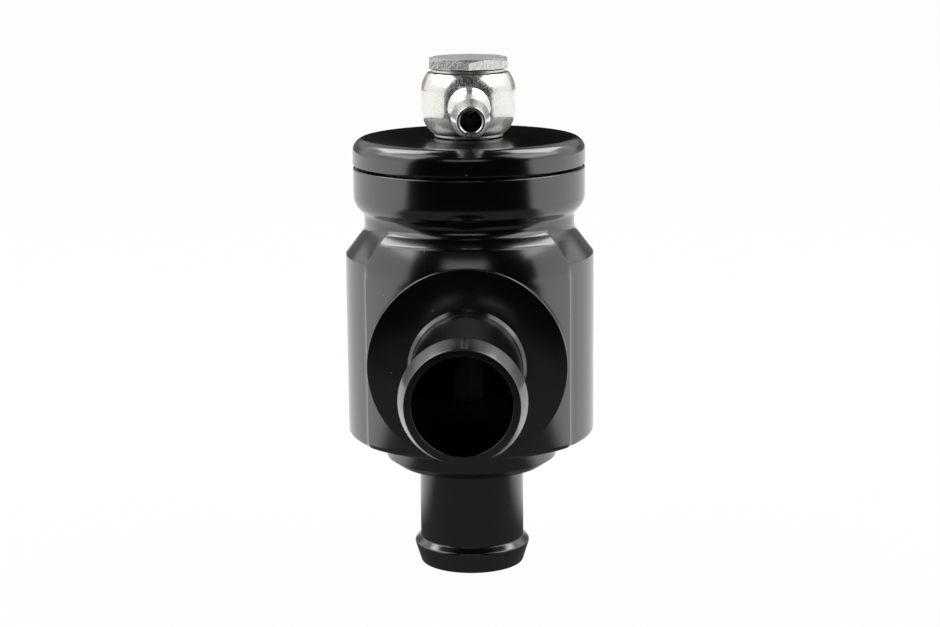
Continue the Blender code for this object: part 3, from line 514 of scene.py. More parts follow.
def combine(target, tool, operation):
    """Joins a tool to a piece or cuts it away, and removes the tool."""
    modifier = target.modifiers.new(tool.name, "BOOLEAN")
    modifier.operation = operation
    modifier.object = tool
    modifier.solver = "EXACT"
    depsgraph = bpy.context.evaluated_depsgraph_get()
    result = bpy.data.meshes.new_from_object(target.evaluated_get(depsgraph))
    target.modifiers.remove(modifier)
    target.data = result
    bpy.data.objects.remove(tool)


def placed(thing, body, nodes, sharp=28.0):
    """Shades a finished piece smooth between its real edges and hands it to the frame."""
    thing.data.shade_smooth()
    thing.data.set_sharp_from_angle(angle=math.radians(sharp))
    thing.data.name = thing.name
    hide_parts(*nodes)
    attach(thing, body)


# Finishes


class Recipe(Graph):
    """A material or the world under construction."""

    def __init__(self, name, store=None):
        self.owner = (bpy.data.materials if store is None else store).new(name)
        self.owner.use_nodes = True
        super().__init__(self.owner.node_tree)
        self.tree.nodes.clear()

    def place(self):
        return self.node("ShaderNodeTexCoord", output="Object")

    def ray(self, kind):
        """1 for what the camera or polished metal sees, 0 elsewhere."""
        return self.node("ShaderNodeLightPath", output=f"Is {kind} Ray")

    def part(self, vector, axis):
        return self.node("ShaderNodeSeparateXYZ", sockets={0: vector}, output=axis)

    def vector_maths(self, operation, first, second):
        settings = {"operation": operation}
        return self.node("ShaderNodeVectorMath", settings, {0: first, 1: second})

    def length(self, vector):
        settings = {"operation": "LENGTH"}
        return self.node("ShaderNodeVectorMath", settings, {0: vector}, output="Value")

    def ramp(self, value, start, end, low=0.0, high=1.0):
        """A smooth step from one level to another while a value goes from start to end."""
        return self.node(
            "ShaderNodeMapRange",
            {"clamp": True, "interpolation_type": "SMOOTHSTEP"},
            {"Value": value, "From Min": start, "From Max": end, "To Min": low, "To Max": high},
        )

    def band(self, value, start, full, fade, end):
        """1 between two limits of a value, falling smoothly to 0 beyond them."""
        return self.ramp(value, start, full) * self.ramp(value, end, fade)

    def noise(self, scale, detail=3.0, roughness=0.5):
        sockets = {"Vector": self.place(), "Scale": scale, "Detail": detail, "Roughness": roughness}
        return self.node("ShaderNodeTexNoise", sockets=sockets)

    def tool_marks(self, pitch, upright=True):
        """Fine grooves that a lathe leaves round the valve's axis or the outlet's, on all faces."""
        centre = (0.0, AXIS_Y, 0.0) if upright else (0.0, 0.0, PORT_HEIGHT)
        flat = (1.0, 1.0, 0.0) if upright else (1.0, 0.0, 1.0)
        offset = self.vector_maths("SUBTRACT", self.place(), centre)
        distance = self.length(self.vector_maths("MULTIPLY", offset, flat))
        along = self.part(self.place(), "Z" if upright else "Y")
        return self.node(
            "ShaderNodeTexNoise",
            {"noise_dimensions": "1D"},
            {"W": (distance + along) / pitch, "Scale": 1.0, "Detail": 4.0},
        )

    def specks(self, scale, size, share):
        """Scattered round specks: 1 on a speck, 0 elsewhere."""
        sockets = {"Vector": self.place(), "Scale": scale}
        cells = self.node("ShaderNodeTexVoronoi", sockets=sockets)
        chosen = self.node("ShaderNodeTexVoronoi", sockets=sockets, output="Color")
        return (cells < size) * (self.part(chosen, "X") < share)

    def blend(self, factor, first, second):
        return self.node(
            "ShaderNodeMix",
            {"data_type": "RGBA"},
            {"Factor": factor, 6: colour(first), 7: colour(second)},
            output=2,
        )

    def bump(self, height, depth, under=None):
        sockets = {"Height": height, "Distance": depth, "Strength": 1.0}
        if under:
            sockets["Normal"] = under
        return self.node("ShaderNodeBump", None, sockets)

    def finish(self, sockets):
        """The closing shader, whose constant values are set on its own sockets."""
        return self.close(self.node("ShaderNodeBsdfPrincipled", sockets=sockets))

    def close(self, shader, kind="ShaderNodeOutputMaterial"):
        self.node(kind, sockets={"Surface": shader}, output=None)
        return self.owner


def colour(value):
    return value if isinstance(value, Flow) else (*value, 1.0)


def toned(value, share):
    return [channel * share for channel in value]


def colours():
    return bpy.context.scene.valve_colours


def anodised_metal(name, upright=True):
    """Black anodised aluminium: satin gloss, fine tool marks, a little dust and handling wear."""
    recipe = Recipe(name)
    marks = recipe.tool_marks(pitch=0.11 * MM, upright=upright)
    cloud = recipe.noise(scale=90.0, detail=4.0)
    peel = recipe.noise(scale=2600.0, detail=2.0)
    dust = recipe.specks(scale=520.0, size=0.055, share=0.09)
    black = colours().anodised
    base = recipe.blend(cloud, toned(black, 0.7), toned(black, 1.5))
    normal = recipe.bump(marks, depth=0.0012 * MM)
    normal = recipe.bump(peel, depth=0.0016 * MM, under=normal)
    normal = recipe.bump(dust, depth=0.03 * MM, under=normal)
    return recipe.finish({
        "Base Color": recipe.blend(dust, base, colours().dust),
        "Roughness": 0.12 + 0.07 * cloud + 0.05 * marks + 0.4 * dust,
        "IOR": 2.0,
        "Normal": normal,
    })


def nickel_plate(name, satin_from):
    """Bright nickel over turned brass, grained and clouded, and satin from one height upwards."""
    recipe = Recipe(name)
    marks = recipe.tool_marks(pitch=0.16 * MM)
    grain = recipe.noise(scale=1900.0, detail=1.0)
    cloud = recipe.noise(scale=260.0, detail=4.0, roughness=0.6)
    haze = recipe.ramp(recipe.noise(scale=5200.0, detail=1.0), 0.46, 0.56)
    pits = recipe.specks(scale=900.0, size=0.09, share=0.12)
    satin = recipe.part(recipe.place(), "Z") > satin_from
    nickel = colours().nickel
    brass = (0.3, 0.28, 0.25)
    base = recipe.blend(cloud, toned(nickel, 0.92), nickel)
    normal = recipe.bump(marks, depth=0.001 * MM)
    normal = recipe.bump(grain, depth=0.013 * MM, under=normal)
    return recipe.finish({
        "Base Color": recipe.blend(pits * 0.6, base, brass),
        "Metallic": 1.0,
        "Roughness": 0.07 + 0.33 * haze + 0.05 * cloud + 0.2 * satin,
        "Normal": normal,
    })


def washer_metal():
    """Soft bright sealing washers, matt from pressing, with fine rings."""
    recipe = Recipe("washer metal")
    marks = recipe.tool_marks(pitch=0.09 * MM)
    cloud = recipe.noise(scale=700.0, detail=4.0)
    dull, bright = (0.62, 0.61, 0.58), (0.8, 0.79, 0.76)
    return recipe.finish({
        "Base Color": recipe.blend(cloud, dull, bright),
        "Metallic": 1.0,
        "Roughness": 0.26 + 0.18 * cloud,
        "Normal": recipe.bump(marks, depth=0.004 * MM),
    })


def piston_metal():
    """Hard anodised aluminium, dark grey, with turning rings and rubbed lands."""
    recipe = Recipe("piston metal")
    marks = recipe.tool_marks(pitch=0.2 * MM)
    rubbed = recipe.noise(scale=150.0, detail=5.0, roughness=0.65)
    dark, worn = (0.006, 0.006, 0.006), (0.02, 0.02, 0.02)
    return recipe.finish({
        "Base Color": recipe.blend(rubbed, dark, worn),
        "Roughness": 0.28 + 0.2 * rubbed,
        "Normal": recipe.bump(marks, depth=0.008 * MM),
    })


def spring_steel():
    """Drawn wire with a light film of oil and darker drawing marks."""
    recipe = Recipe("spring steel")
    drawn = recipe.noise(scale=1500.0, detail=4.0, roughness=0.7)
    film = recipe.noise(scale=240.0)
    dark, bright = (0.3, 0.3, 0.31), (0.52, 0.52, 0.53)
    return recipe.finish({
        "Base Color": recipe.blend(drawn, dark, bright),
        "Metallic": 1.0,
        "Roughness": 0.2 + 0.2 * film,
        "Normal": recipe.bump(drawn, depth=0.006 * MM),
    })


def seal_rubber():
    """Matt black rubber with a fine moulded grain."""
    recipe = Recipe("seal rubber")
    grain = recipe.noise(scale=3200.0, detail=4.0, roughness=0.6)
    bloom = recipe.noise(scale=200.0)
    black, grey = (0.014, 0.014, 0.014), (0.035, 0.034, 0.033)
    return recipe.finish({
        "Base Color": recipe.blend(bloom, black, grey),
        "Roughness": 0.5 + 0.2 * grain,
        "Normal": recipe.bump(grain, depth=0.012 * MM),
    })


def guide_plastic():
    """Filled bearing plastic, brown grey, with mottled filler."""
    recipe = Recipe("guide plastic")
    filler = recipe.noise(scale=1700.0, detail=5.0, roughness=0.7)
    marks = recipe.tool_marks(pitch=0.15 * MM)
    brown, sand = (0.1, 0.08, 0.06), (0.21, 0.175, 0.14)
    return recipe.finish({
        "Base Color": recipe.blend(filler, brown, sand),
        "Roughness": 0.42 + 0.2 * filler,
        "Normal": recipe.bump(marks, depth=0.01 * MM),
    })


# Pieces


def port_face(sizes):
    """How far the round port face stands from the valve's axis."""
    return sizes.body_radius - sizes.port_face_depth


def collar_outline(sizes):
    """The turned collar and the upper part of the neck, as radius and drop from the body's top."""
    collar = sizes.body_radius - COLLAR_DEPTH
    neck = sizes.body_radius - NECK_DEPTH
    corners = [
        (collar - COLLAR_EDGE, 0.0),
        (collar, 0.0, COLLAR_EDGE),
        (collar, COLLAR_DROP, COLLAR_ROUNDING),
        (neck, COLLAR_DROP + NECK_DEPTH - COLLAR_DEPTH, WAIST_ROUNDING),
        (neck, NECK_START),
    ]
    return rounded(corners, FINE_FACET)[1:]


def front_outline(sizes):
    """The front below the neck: a steep flank, the crease, and the barrel's rolled off end."""
    radius = sizes.body_radius
    neck = radius - NECK_DEPTH
    corners = [
        (neck, NECK_START),
        (neck, FRONT_NECK_DROP, FRONT_NECK_ROUNDING),
        (radius - sizes.crease_depth, CREASE_DROP, CREASE_ROUNDING),
    ]
    lip = sizes.crease_depth - LIP_RISE
    start = CREASE_DROP + LIP_HEIGHT
    for step in range(FRONT_LEVELS + 1):
        above = 1.0 - step / FRONT_LEVELS
        corners.append((radius - lip * above ** 2, FRONT_DROP - (FRONT_DROP - start) * above))
    return rounded(corners, FINE_FACET)


def side_outline(sizes):
    """The side below the neck: a cone that turns into the panel."""
    panel = sizes.body_radius - sizes.panel_depth
    neck = sizes.body_radius - NECK_DEPTH
    corners = [
        (neck, NECK_START),
        (neck, SIDE_NECK_DROP, SIDE_NECK_ROUNDING),
        (panel, PANEL_DROP, PANEL_ROUNDING),
        (panel, FRONT_DROP),
    ]
    return rounded(corners, FINE_FACET)


def radius_at(outline, drop):
    """The radius of an outline at one drop."""
    for (radius, upper), (next_radius, lower) in zip(outline, outline[1:]):
        if upper <= drop <= lower:
            return radius + (next_radius - radius) * (drop - upper) / (lower - upper)
    return outline[-1][0]


def body_columns(drop):
    """Angle from the outlet and share of the front's form for each column of a quarter."""
    lowered = min(1.0, max(0.0, (drop - CREASE_DROP) / (PANEL_DROP - CREASE_DROP)))
    edge = CREASE_EDGE + (PANEL_EDGE - CREASE_EDGE) * lowered
    blend_end = CREASE_BLEND_END + (PANEL_BLEND_END - CREASE_BLEND_END) * lowered
    columns = [(edge * column / FRONT_COLUMNS, 1.0) for column in range(FRONT_COLUMNS + 1)]
    for column in range(1, CORNER_COLUMNS + 1):
        share = column / CORNER_COLUMNS
        columns.append((edge + (blend_end - edge) * share, (1.0 - share) ** CORNER_FALL))
    for column in range(1, PANEL_COLUMNS + 1):
        share = column / PANEL_COLUMNS
        columns.append((blend_end + (math.pi / 2 - blend_end) * share, 0.0))
    return columns


def body_levels(sizes):
    """Drop, front radius and side radius of each level of the body, from its rim downwards."""
    levels = [(drop, radius, radius) for radius, drop in collar_outline(sizes)]
    front = front_outline(sizes)
    side = side_outline(sizes)
    last = NECK_START
    for drop in sorted(level for _, level in front + side):
        if drop - last > LEAST_LEVEL:
            levels.append((drop, radius_at(front, drop), radius_at(side, drop)))
            last = drop
    panel = sizes.body_radius - sizes.panel_depth
    for inward, back in edge_steps(BOTTOM_ROUNDING, BOTTOM_FACETS):
        levels.append((BODY_HEIGHT - back, sizes.body_radius - inward, panel - inward))
    return levels


def body_ring(drop, front, side):
    """One closed level of the body: a quarter's columns, mirrored to the back and across."""
    quarter = [(angle, side + share * (front - side)) for angle, share in body_columns(drop)]
    half = quarter + [(math.pi - angle, radius) for angle, radius in reversed(quarter[:-1])]
    around = half + [(2 * math.pi - angle, radius) for angle, radius in reversed(half[1:-1])]
    return [
        (radius * math.sin(angle), AXIS_Y - radius * math.cos(angle), BODY_TOP - drop)
        for angle, radius in around
    ]


def port_boss(sizes, finish):
    """The round port face, its lowest part cut level with the body's bottom."""
    face = port_face(sizes)
    lowest = BODY_BOTTOM + PORT_EDGE
    sections = [(face / 2, sizes.port_face_radius, lowest)]
    for inward, back in edge_steps(PORT_EDGE, PORT_EDGE_FACETS):
        sections.append((face - back, sizes.port_face_radius - inward, lowest + inward))

    def point(out, radius, floor, turn):
        height = max(floor, PORT_HEIGHT + radius * math.cos(turn))
        return (radius * math.sin(turn), AXIS_Y - out, height)

    rings = [[point(*section, turn) for turn in turns_of(PORT_FACETS)] for section in sections]
    return piece("port_boss", skinned("port_boss", rings, finish))


def make_body(sizes, finish):
    """A lofted shell with the port face let into it, bored from the top and from the front."""
    name = "body_of_valve"
    rings = [body_ring(*level) for level in body_levels(sizes)]
    body = piece(name, skinned(name, rings, finish))
    beyond = sizes.body_radius + 5.0 * MM
    relief_floor = port_face(sizes) - 0.4 * MM
    relief_radius = sizes.port_face_radius + 0.05 * MM
    relief = [
        (SWEEP_RADIUS / 2, relief_floor),
        (relief_radius, relief_floor),
        (relief_radius, beyond),
        (SWEEP_RADIUS / 2, beyond),
    ]
    combine(body, plug("relief", relief, PORT_FACETS, finish, laid=True), "DIFFERENCE")
    combine(body, port_boss(sizes, finish), "UNION")

    spigot_bore = 21.5 * MM
    inlet_bore = 15.9 * MM
    ledge = SEAT_TOP - 1.2 * MM
    counterbore = CAP_SPIGOT_BOTTOM - CLEARANCE
    bore = [
        (inlet_bore, BODY_BOTTOM - TOOL_MARGIN),
        (inlet_bore, ledge),
        (PISTON_BORE, ledge + PISTON_BORE - inlet_bore),
        (PISTON_BORE, counterbore),
        (spigot_bore, counterbore),
        (spigot_bore, BODY_TOP + TOOL_MARGIN),
    ]
    combine(body, plug("long_bore", bore, sizes.facets, finish), "DIFFERENCE")
    port_floor = PISTON_BORE + PORT_LEDGE
    port_radius = 12.4 * MM
    port = [
        (sizes.hose_bore_radius, PISTON_BORE / 2),
        (sizes.hose_bore_radius, port_floor),
        (port_radius, port_floor),
        (port_radius, beyond),
    ]
    combine(body, plug("outlet_port", port, sizes.facets, finish, laid=True), "DIFFERENCE")
    placed(body, "housing", ["valve_body"], 24.0)


def make_cap(sizes, finish):
    """The round cap with its spigot, its ring groove and the boss that the bolt screws into."""
    radius = CAP_HIGH.x
    shoulder = 3.0 * MM
    bottom = BODY_TOP + 0.6 * MM
    spigot = 21.3 * MM
    edge = 0.3 * MM
    pocket = spigot - 4.0 * MM
    pilot = 9.1 * MM
    crown = CAP_TOP - 8.5 * MM
    boss = crown - 4.0 * MM
    groove_top = bottom - GROOVE_START
    groove_bottom = groove_top - GROOVE_WIDTH
    groove_floor = spigot + CLEARANCE - GROOVE_DEPTH
    outline = [
        (spigot, bottom),
        (radius, bottom, 0.35 * MM),
        (radius, CAP_TOP, shoulder),
        (BOLT_HOLE, CAP_TOP, 0.25 * MM),
        (BOLT_HOLE, boss),
        (pilot, boss, edge),
        (pilot, crown),
        (pocket, crown, 0.5 * MM),
        (pocket, CAP_SPIGOT_BOTTOM),
        (spigot, CAP_SPIGOT_BOTTOM, edge),
        (spigot, groove_bottom),
        (groove_floor, groove_bottom),
        (groove_floor, groove_top),
        (spigot, groove_top),
    ]
    cap = turned("round_cap", outline, 2 * sizes.facets, finish)
    placed(cap, "housing", ["cap"])


def hose_barb(sizes, end, direction):
    """The mouth and the crest of a hose barb whose end face is at the given distance."""
    bore = sizes.hose_bore_radius
    tube = sizes.hose_radius
    mouth_edge = 0.04 * MM
    crest_height = 1.5 * MM
    crest, behind_crest = 5.1 * MM, 6.3 * MM

    def at(distance):
        return end - direction * distance

    return [
        (bore, at(mouth_edge)),
        (bore + mouth_edge, at(0.0)),
        (tube - 0.1 * MM, at(0.0), 0.35 * MM),
        (tube + crest_height, at(crest), 0.7 * MM),
        (tube, at(behind_crest), 0.4 * MM),
    ]


def make_inlet(sizes, finish):
    """The inlet barb with its coned flange, its ring groove and the seat for the piston."""
    edge = 0.2 * MM
    flange_bottom = 25.0 * MM
    flange_top = BODY_BOTTOM - CLEARANCE
    flange_nose = 17.85 * MM
    flange_radius = 20.5 * MM
    cone_height = 1.9 * MM
    spigot = 15.7 * MM
    groove_bottom = flange_top + GROOVE_START
    groove_top = groove_bottom + GROOVE_WIDTH
    groove_floor = spigot + CLEARANCE - GROOVE_DEPTH
    spigot_top = SEAT_TOP - 1.0 * MM
    seat_outer = 14.2 * MM
    seat_inner = 12.6 * MM
    outline = hose_barb(sizes, 0.0, -1.0) + [
        (sizes.hose_radius, flange_bottom, 0.8 * MM),
        (flange_nose, flange_bottom, edge),
        (flange_radius, flange_bottom + cone_height, edge),
        (flange_radius, flange_top, edge),
        (spigot, flange_top),
        (spigot, groove_bottom),
        (groove_floor, groove_bottom),
        (groove_floor, groove_top),
        (spigot, groove_top),
        (spigot, spigot_top, edge),
        (seat_outer, spigot_top),
        (seat_outer, SEAT_TOP, edge),
        (seat_inner, SEAT_TOP, edge),
        (sizes.hose_bore_radius, SEAT_TOP - 1.8 * MM),
    ]
    fitting = turned("inlet_barb", outline, sizes.facets, finish)
    placed(fitting, "housing", ["inlet_fitting"])


def make_outlet(sizes, finish):
    """The outlet barb with its coned collar and the spigot in the body's port."""
    edge = 0.1 * MM
    collar = 13.65 * MM
    collar_nose = 12.75 * MM
    spigot = 12.2 * MM
    collar_start = port_face(sizes) + CLEARANCE
    collar_end = collar_start + 1.35 * MM
    cone_start = collar_end - 0.85 * MM
    start = PISTON_BORE + PORT_LEDGE + CLEARANCE + OUTLET_SEAL_HEIGHT + CLEARANCE
    outline = hose_barb(sizes, OUTLET_END, 1.0) + [
        (sizes.hose_radius, collar_end, 0.12 * MM),
        (collar_nose, collar_end, edge),
        (collar, cone_start, 0.55 * MM),
        (collar, collar_start, edge),
        (spigot, collar_start),
        (spigot, start, 0.2 * MM),
        (sizes.hose_bore_radius, start, edge),
    ]
    fitting = turned("outlet_barb", outline, sizes.facets, finish, laid=True)
    placed(fitting, "housing", ["outlet_fitting"])


def make_banjo(sizes, facets, finish):
    """A barrel shaped ball with a gallery round the bolt, and a hose nipple on its front."""
    bottom, top = BALL_LOW.z, BALL_HIGH.z
    widest = bottom + 7.6 * MM
    rounding = 7.0 * MM
    crest = 11.08 * MM
    flat = 2.2 * MM

    def side(reach):
        """Radius and distance from the widest level, out to the ball's upper or lower end."""
        points = []
        for step in range(BALL_LEVELS + 1):
            rise = (reach - flat) * step / BALL_LEVELS
            points.append((crest - rounding + math.sqrt(rounding ** 2 - rise ** 2), flat + rise))
        return points

    outline = [(radius, widest - rise) for radius, rise in reversed(side(widest - bottom))]
    outline += [(radius, widest + rise) for radius, rise in side(top - widest)]
    ball = plug("banjo_ball", outline, facets, finish)

    gallery = 6.6 * MM
    root, tube, barb_radius, tip_radius = 4.95 * MM, 3.5 * MM, 4.37 * MM, 3.2 * MM
    tip = 39.3 * MM
    barb = tip - 6.3 * MM
    nipple = rounded([
        (root, gallery + 1.0 * MM),
        (root, 12.2 * MM, 0.8 * MM),
        (tube, 14.6 * MM, 1.0 * MM),
        (tube, barb - 0.9 * MM, 0.15 * MM),
        (barb_radius, barb, 0.3 * MM),
        (tip_radius, tip, 0.25 * MM),
        (2.0 * MM, tip),
    ])
    way = {"laid": True, "height": NIPPLE_HEIGHT, "swing": NIPPLE_SWING}
    combine(ball, plug("hose_nipple", nipple[:-1], FITTING_FACETS, finish, **way), "UNION")

    half_gallery = 3.0 * MM
    low, high = NIPPLE_HEIGHT - half_gallery, NIPPLE_HEIGHT + half_gallery
    passage = [
        (BOLT_HOLE, bottom - TOOL_MARGIN),
        (BOLT_HOLE, low),
        (gallery, low),
        (gallery, high),
        (BOLT_HOLE, high),
        (BOLT_HOLE, top + TOOL_MARGIN),
    ]
    combine(ball, plug("gallery", passage, FITTING_FACETS, finish), "DIFFERENCE")
    bore = sizes.nipple_bore_radius
    mouth = bore + 0.35 * MM
    airway = [
        (bore, 5.0 * MM),
        (bore, tip - 0.25 * MM),
        (mouth, tip + 0.1 * MM),
        (mouth, tip + TOOL_MARGIN),
    ]
    combine(ball, plug("airway", airway, 64, finish, **way), "DIFFERENCE")
    ball.name = "banjo_with_nipple"
    placed(ball, "banjo", ["banjo_fitting"], 30.0)


def make_bolt(sizes, finish):
    """Hollow bolt: low hexagonal head with turned corners, shank, airway and cross hole."""
    bottom = BOLT_LOW.z
    head_top = BOLT_HIGH.z
    head_bottom = head_top - 2.55 * MM
    flats = sizes.bolt_across_flats
    corner = flats / math.sqrt(3)
    head = plug("bolt_head", [(corner, head_bottom + 0.2 * MM), (corner, head_top)], 6, finish)
    head.data.transform(
        Matrix.Translation((0.0, AXIS_Y, 0.0))
        @ Matrix.Rotation(HEAD_TURN, 4, "Z")
        @ Matrix.Translation((0.0, -AXIS_Y, 0.0))
    )
    chamfer = 0.8 * MM
    inner = flats / 2 - 0.55 * MM
    outer = corner + 0.4 * MM
    drop = (outer - inner) * chamfer / (corner - inner)
    envelope = rounded([
        (outer, head_bottom - 0.4 * MM),
        (outer, head_top - drop),
        (inner, head_top, 0.3 * MM),
        (1.0 * MM, head_top),
    ])
    combine(head, plug("head_envelope", envelope, 128, finish), "INTERSECT")

    face = flats / 2 - 0.6 * MM
    shank_radius = 5.0 * MM
    shank = [
        (shank_radius - 0.4 * MM, bottom),
        (shank_radius, bottom + 0.4 * MM),
        (shank_radius, head_bottom),
        (face, head_bottom),
        (face, head_bottom + 0.4 * MM),
    ]
    combine(head, plug("shank", shank, FITTING_FACETS, finish), "UNION")
    airway = [(2.3 * MM, bottom - TOOL_MARGIN), (2.3 * MM, NIPPLE_HEIGHT + 2.1 * MM)]
    combine(head, plug("bolt_airway", airway, 48, finish), "DIFFERENCE")
    cross = [(1.7 * MM, -10.0 * MM), (1.7 * MM, 10.0 * MM)]
    cross_hole = plug("cross_hole", cross, 32, finish, laid=True, height=NIPPLE_HEIGHT)
    combine(head, cross_hole, "DIFFERENCE")
    head.name = "hollow_bolt"
    placed(head, "housing", ["banjo_bolt"], 24.0)


def make_washers(finish):
    edge = 0.15 * MM
    for place in ("lower", "upper"):
        node = f"banjo_{place}_washer"
        low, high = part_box(node)
        radius = (high.x - low.x) / 2
        outline = [
            (BOLT_HOLE, low.z),
            (radius, low.z, edge),
            (radius, high.z, edge),
            (BOLT_HOLE, high.z),
        ]
        washer = turned(f"{place}_sealing_washer", outline, 128, finish)
        placed(washer, "housing", [node])


def make_spring(sizes, finish):
    """A coil between the cap's washer and the piston."""
    wire = sizes.spring_wire / 2
    mesh = grown(
        bpy.data.meshes.new("spring_start"),
        "coil_spring",
        coil_tree,
        {
            "Coil Radius": 10.4 * MM, "Wire Radius": wire, "Turns": sizes.spring_turns,
            "Closed Turns": 1.0, "Bottom": SPRING_LOW.z + wire, "Top": SPRING_HIGH.z - wire,
            "Points": WIRE_POINTS, "Finish": finish,
        },
    )
    on_axis(mesh, laid=False)
    spring = piece("coil_spring", mesh)
    slide = next(joint for joint in frame["joints"] if joint["name"] == "piston_slide")
    travel = slide["range_m"][1]
    length = SPRING_HIGH.z - SPRING_LOW.z
    placed(spring, "housing", ["spring"])
    (length - travel) / length
    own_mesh(spring)


# Operators


class ValveOperator:
    bl_options = {"REGISTER", "UNDO"}


class VALVE_OT_body(ValveOperator, bpy.types.Operator):
    """Builds the billet body with its panels, port face and bores"""

    bl_idname = "valve.body"
    bl_label = "Body"

    def execute(self, context):
        make_body(context.scene.valve_housing, anodised_metal("black anodised body"))
        return {"FINISHED"}


class VALVE_OT_cap(ValveOperator, bpy.types.Operator):
    """Builds the round cap that screws into the body"""

    bl_idname = "valve.cap"
    bl_label = "Cap"

    def execute(self, context):
        make_cap(context.scene.valve_housing, anodised_metal("black anodised cap"))
        return {"FINISHED"}


class VALVE_OT_hose_barbs(ValveOperator, bpy.types.Operator):
    """Builds the inlet fitting with its flange and the outlet fitting"""

    bl_idname = "valve.hose_barbs"
    bl_label = "Hose Barbs"

    def execute(self, context):
        housing = context.scene.valve_housing
        make_inlet(housing, anodised_metal("black anodised inlet"))
        make_outlet(housing, anodised_metal("black anodised outlet", upright=False))
        return {"FINISHED"}


class VALVE_OT_banjo(ValveOperator, bpy.types.Operator):
    """Builds the banjo ball with its hose nipple, the hollow bolt and both sealing washers"""

    bl_idname = "valve.banjo"
    bl_label = "Banjo Fitting"

    def execute(self, context):
        fittings = context.scene.valve_fittings
        nickel = nickel_plate("bright nickel", BOLT_HIGH.z - 0.05 * MM)
        make_banjo(fittings, context.scene.valve_housing.facets, nickel)
        make_bolt(fittings, nickel)
        make_washers(washer_metal())
        return {"FINISHED"}


class VALVE_OT_inner_parts(ValveOperator, bpy.types.Operator):
    """Builds the coil spring and gives the piston, its rings and the seals their finishes"""

    bl_idname = "valve.inner_parts"
    bl_label = "Inner Parts"

    def execute(self, context):
        steel = spring_steel()
        make_spring(context.scene.valve_fittings, steel)
        rubber = seal_rubber()
        plastic = guide_plastic()
        finishes = {
            "piston": piston_metal(),
            "spring_thrust_washer": steel,
            "piston_guide_ring_upper": plastic,
            "piston_guide_ring_lower": plastic,
        }
        seals = ("piston_seal", "piston_face_seal", "cap_o_ring", "inlet_o_ring", "outlet_seal")
        finishes.update(dict.fromkeys(seals, rubber))
        for node, finish in finishes.items():
            for slot in frame["nodes"][node].material_slots:
                slot.material = finish
        return {"FINISHED"}


class VALVE_OT_stage(ValveOperator, bpy.types.Operator):
    """Sets the floor, the lamps, the world and the camera"""

    bl_idname = "valve.stage"
    bl_label = "Stage"

    def execute(self, context):
        make_floor()
        make_lamps()
        make_world()
        make_camera()
        context.scene.view_settings.view_transform = "Standard"
        return {"FINISHED"}


class VALVE_PT_sidebar(bpy.types.Panel):
    """Lists the steps and the sizes of the valve"""

    bl_label = "Blow Off Valve"
    bl_idname = "VALVE_PT_sidebar"
    bl_space_type = "VIEW_3D"
    bl_region_type = "UI"
    bl_category = "Valve"

    def draw(self, context):
        column = self.layout.column()
        for operator in OPERATORS:
            column.operator(operator.bl_idname)
        scene = context.scene
        for group in (scene.valve_housing, scene.valve_fittings, scene.valve_colours):
            for name in group.__annotations__:
                column.prop(group, name)


# Stage


def make_floor():
    """A pale floor that glows white to the camera; to polished metal it glows with painted light,
    bright at the sides and dim in front and far away.
    """
    mesh = bpy.data.meshes.new("pale_floor")
    signs = ((-1, -1), (1, -1), (1, 1), (-1, 1))
    corners = [(x * FLOOR_REACH, y * FLOOR_REACH, 0.0) for x, y in signs]
    mesh.from_pydata(corners, [], [(0, 1, 2, 3)])
    floor = shown("pale_floor", mesh)

    recipe = Recipe("pale floor")
    offset = recipe.vector_maths("SUBTRACT", recipe.place(), (0.0, AXIS_Y, 0.0))
    distance = recipe.length(offset)
    across = recipe.part(offset, "X")
    back = recipe.part(offset, "Y")
    forward = DIM_REACH - back - DIM_SLOPE * abs(across + DIM_TURN * back)
    front = recipe.ramp(distance, 0.42, 0.22, low=0.006, high=DIM_LEVEL)
    sides = recipe.ramp(back, 1.9, 1.1, low=DIM_LEVEL, high=BRIGHT_LEVEL)
    # Painted light: polished metal sees the floor glow bright at the sides and dim in front, as if
    # lit and shaded there
    painted_floor_light = sides + recipe.ramp(forward, -DIM_BLUR, DIM_BLUR) * (front - sides)
    camera_ray = recipe.ray("Camera")
    glossy_ray = recipe.ray("Glossy")
    level = camera_ray + glossy_ray * painted_floor_light
    glow = recipe.node("ShaderNodeEmission", sockets={"Color": WHITE, "Strength": level})
    paint = recipe.node("ShaderNodeBsdfDiffuse", sockets={"Color": (0.8, 0.8, 0.8, 1.0)})
    seen = camera_ray * 0.97 + glossy_ray
    surface = recipe.node("ShaderNodeMixShader", sockets={0: seen, 1: paint, 2: glow})
    mesh.materials.append(recipe.close(surface))


def make_lamps():
    """Soft boxes at both sides and higher ones behind them, with weak ones near the back."""
    aim = Vector((0.0, AXIS_Y, LAMP_AIM))
    for name, azimuth, elevation, distance, width, height, power in LAMPS:
        for side, sign in (("left", -1.0), ("right", 1.0)):
            a, e = math.radians(sign * azimuth), math.radians(elevation)
            towards = Vector((math.sin(a) * math.cos(e), -math.cos(a) * math.cos(e), math.sin(e)))
            lamp = bpy.data.lights.new(f"{side}_{name}", "AREA")
            lamp.shape = "RECTANGLE"
            lamp.size = width
            lamp.size_y = height
            lamp.energy = power
            thing = shown(f"{side}_{name}", lamp)
            thing.location = aim + towards * distance
            thing.rotation_euler = (-towards).to_track_quat("-Z", "Y").to_euler()
            thing.visible_camera = False


